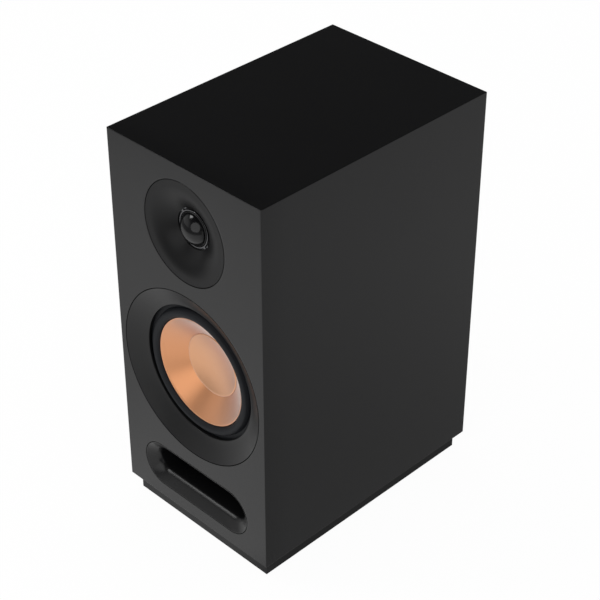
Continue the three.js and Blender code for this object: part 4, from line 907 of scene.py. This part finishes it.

# ------------------------ floor and light
# A white floor in a white studio. A large round lamp hangs low in front, a small strong one high at the
# front left, and a weak one at the right. Gloss sees a painted glow on the floor, a painted reflection that
# is pale close by and darker towards the far left and the right, and, in gloss only, a pale world at the
# front left that fades upwards.


def plain_floor(half):
    """A level square, 2 by 2 points, under the plinth."""
    x, y = np.meshgrid([-half, half], [-half, half])
    return places(x, y, 0)


# How bright the floor's painted glow is in gloss: near by, far to the left, near and far to the right, and
# where it fades.
floor_near, floor_far, floor_right, floor_fade = 0.765, 0.155, (0.285, 0.43), (0.51, 0.9)
floor = skin("floor", [(plain_floor(12.0), False)])
floor_white = bpy.data.materials.new("floor white")
floor_white.use_nodes = True
tree = floor_white.node_tree
tree.nodes.clear()


def eased(tree, value, start, end, start_level, end_level):
    """A value eased from one level to another between two places: t^2 (3 - 2t)."""
    span = {"Value": value, "From Min": start, "From Max": end, "To Min": start_level, "To Max": end_level}
    return wired(tree, "MapRange", span, interpolation_type="SMOOTHSTEP").outputs["Result"]


ray = wired(tree, "LightPath").outputs
where = wired(tree, "TexCoord").outputs["Object"]
distance = vector_node(tree, "LENGTH", where)
side = vector_node(tree, "DOT_PRODUCT", where, (1, 1, 0))
from_baffle = vector_node(tree, "MULTIPLY_ADD", where, (1, 1, 0), (0, -front_y, 0))
toward = vector_node(tree, "NORMALIZE", from_baffle)
straight = vector_node(tree, "DOT_PRODUCT", toward, (-0.174, -0.985, 0))
reach = vector_node(tree, "LENGTH", vector_node(tree, "MULTIPLY", where, (0.7, 1, 0)))
sideways = eased(tree, straight, 0.2, 0.85, 0.45 * floor_near, floor_near)
near_floor = eased(tree, distance, 0.15, 0.35, floor_near, sideways)
left_floor = eased(tree, reach, *floor_fade, near_floor, floor_far)
right_floor = eased(tree, distance, 0.1, 0.5, *floor_right)
# The floor's painted reflection: its glow in gloss is painted pale close by and darker far to the left and to
# the right.
painted_reflection_level = eased(tree, side, -0.1, 0.0, left_floor, right_floor)
in_mirror = math_node(tree, "MAXIMUM", ray["Is Glossy Ray"], ray["Is Transmission Ray"])
seen = math_node(tree, "MAXIMUM", ray["Is Camera Ray"], in_mirror)
matt = wired(tree, "BsdfDiffuse", {"Color": (0.94, 0.94, 0.94, 1)})
glow = wired(tree, "Emission", {"Strength": math_node(tree, "MAXIMUM", ray["Is Camera Ray"], painted_reflection_level)})
both = wired(tree, "MixShader", [math_node(tree, "MULTIPLY", seen, 0.96), matt.outputs[0], glow.outputs[0]])
wired(tree, "OutputMaterial", {"Surface": both.outputs[0]})
floor.data.materials.append(floor_white)

white = (1, 1, 1, 1)
world = bpy.data.worlds.new("white studio")
world.use_nodes = True
bpy.context.scene.world = world
tree = world.node_tree
way = wired(tree, "TexCoord").outputs["Generated"]
fade = wired(tree, "ValToRGB", {"Fac": wired(tree, "SeparateXYZ", [way]).outputs["Z"]})
levels = [(0.35, 0.58), (0.64, 0.22), (0.80, 0.05), (0.95, 0.04)]
while len(fade.color_ramp.elements) < len(levels):
    fade.color_ramp.elements.new(0.5)
for element, (position, level) in zip(fade.color_ramp.elements, levels):
    element.position = position
    element.color = (level, level, level, 1)
facing = eased(tree, vector_node(tree, "DOT_PRODUCT", way, (-0.82, -0.57, 0)), 0.7, 0.95, 0.1, 1.0)
reflected = wired(tree, "Background", {"Color": fade.outputs["Color"], "Strength": facing})
ambient = tree.nodes["Background"]
ambient.inputs["Color"].default_value = white
ambient.inputs["Strength"].default_value = 0.85
shown = wired(tree, "Background", {"Color": white, "Strength": 1.0})
ray = wired(tree, "LightPath").outputs
in_mirror = math_node(tree, "MAXIMUM", ray["Is Glossy Ray"], ray["Is Transmission Ray"])
unseen = wired(tree, "MixShader", [in_mirror, ambient.outputs[0], reflected.outputs[0]])
all_rays = wired(tree, "MixShader", [ray["Is Camera Ray"], unseen.outputs[0], shown.outputs[0]])
tree.links.new(all_rays.outputs[0], tree.nodes["World Output"].inputs["Surface"])


def soft_lamp(name, place, target, size, power):
    """A round area lamp aimed at a point."""
    data = bpy.data.lights.new(name, "AREA")
    data.shape = "DISK"
    data.size = size
    data.energy = power
    lamp = bpy.data.objects.new(name, data)
    lamp.location = place
    lamp.rotation_mode = "QUATERNION"
    lamp.rotation_quaternion = (Vector(target) - Vector(place)).to_track_quat("-Z", "Y")
    bpy.context.scene.collection.objects.link(lamp)


lit_point = (0, 0, 0.2)
soft_lamp("front lamp", (0.347, -1.622, 0.64), lit_point, 1.5, 6.0)
soft_lamp("key lamp", (-0.8125, -0.799, 1.348), lit_point, 0.53, 3.9)
soft_lamp("fill lamp", (1.8, -0.6, 0.9), lit_point, 1.2, 2.0)
bpy.context.scene.view_settings.view_transform = "Standard"
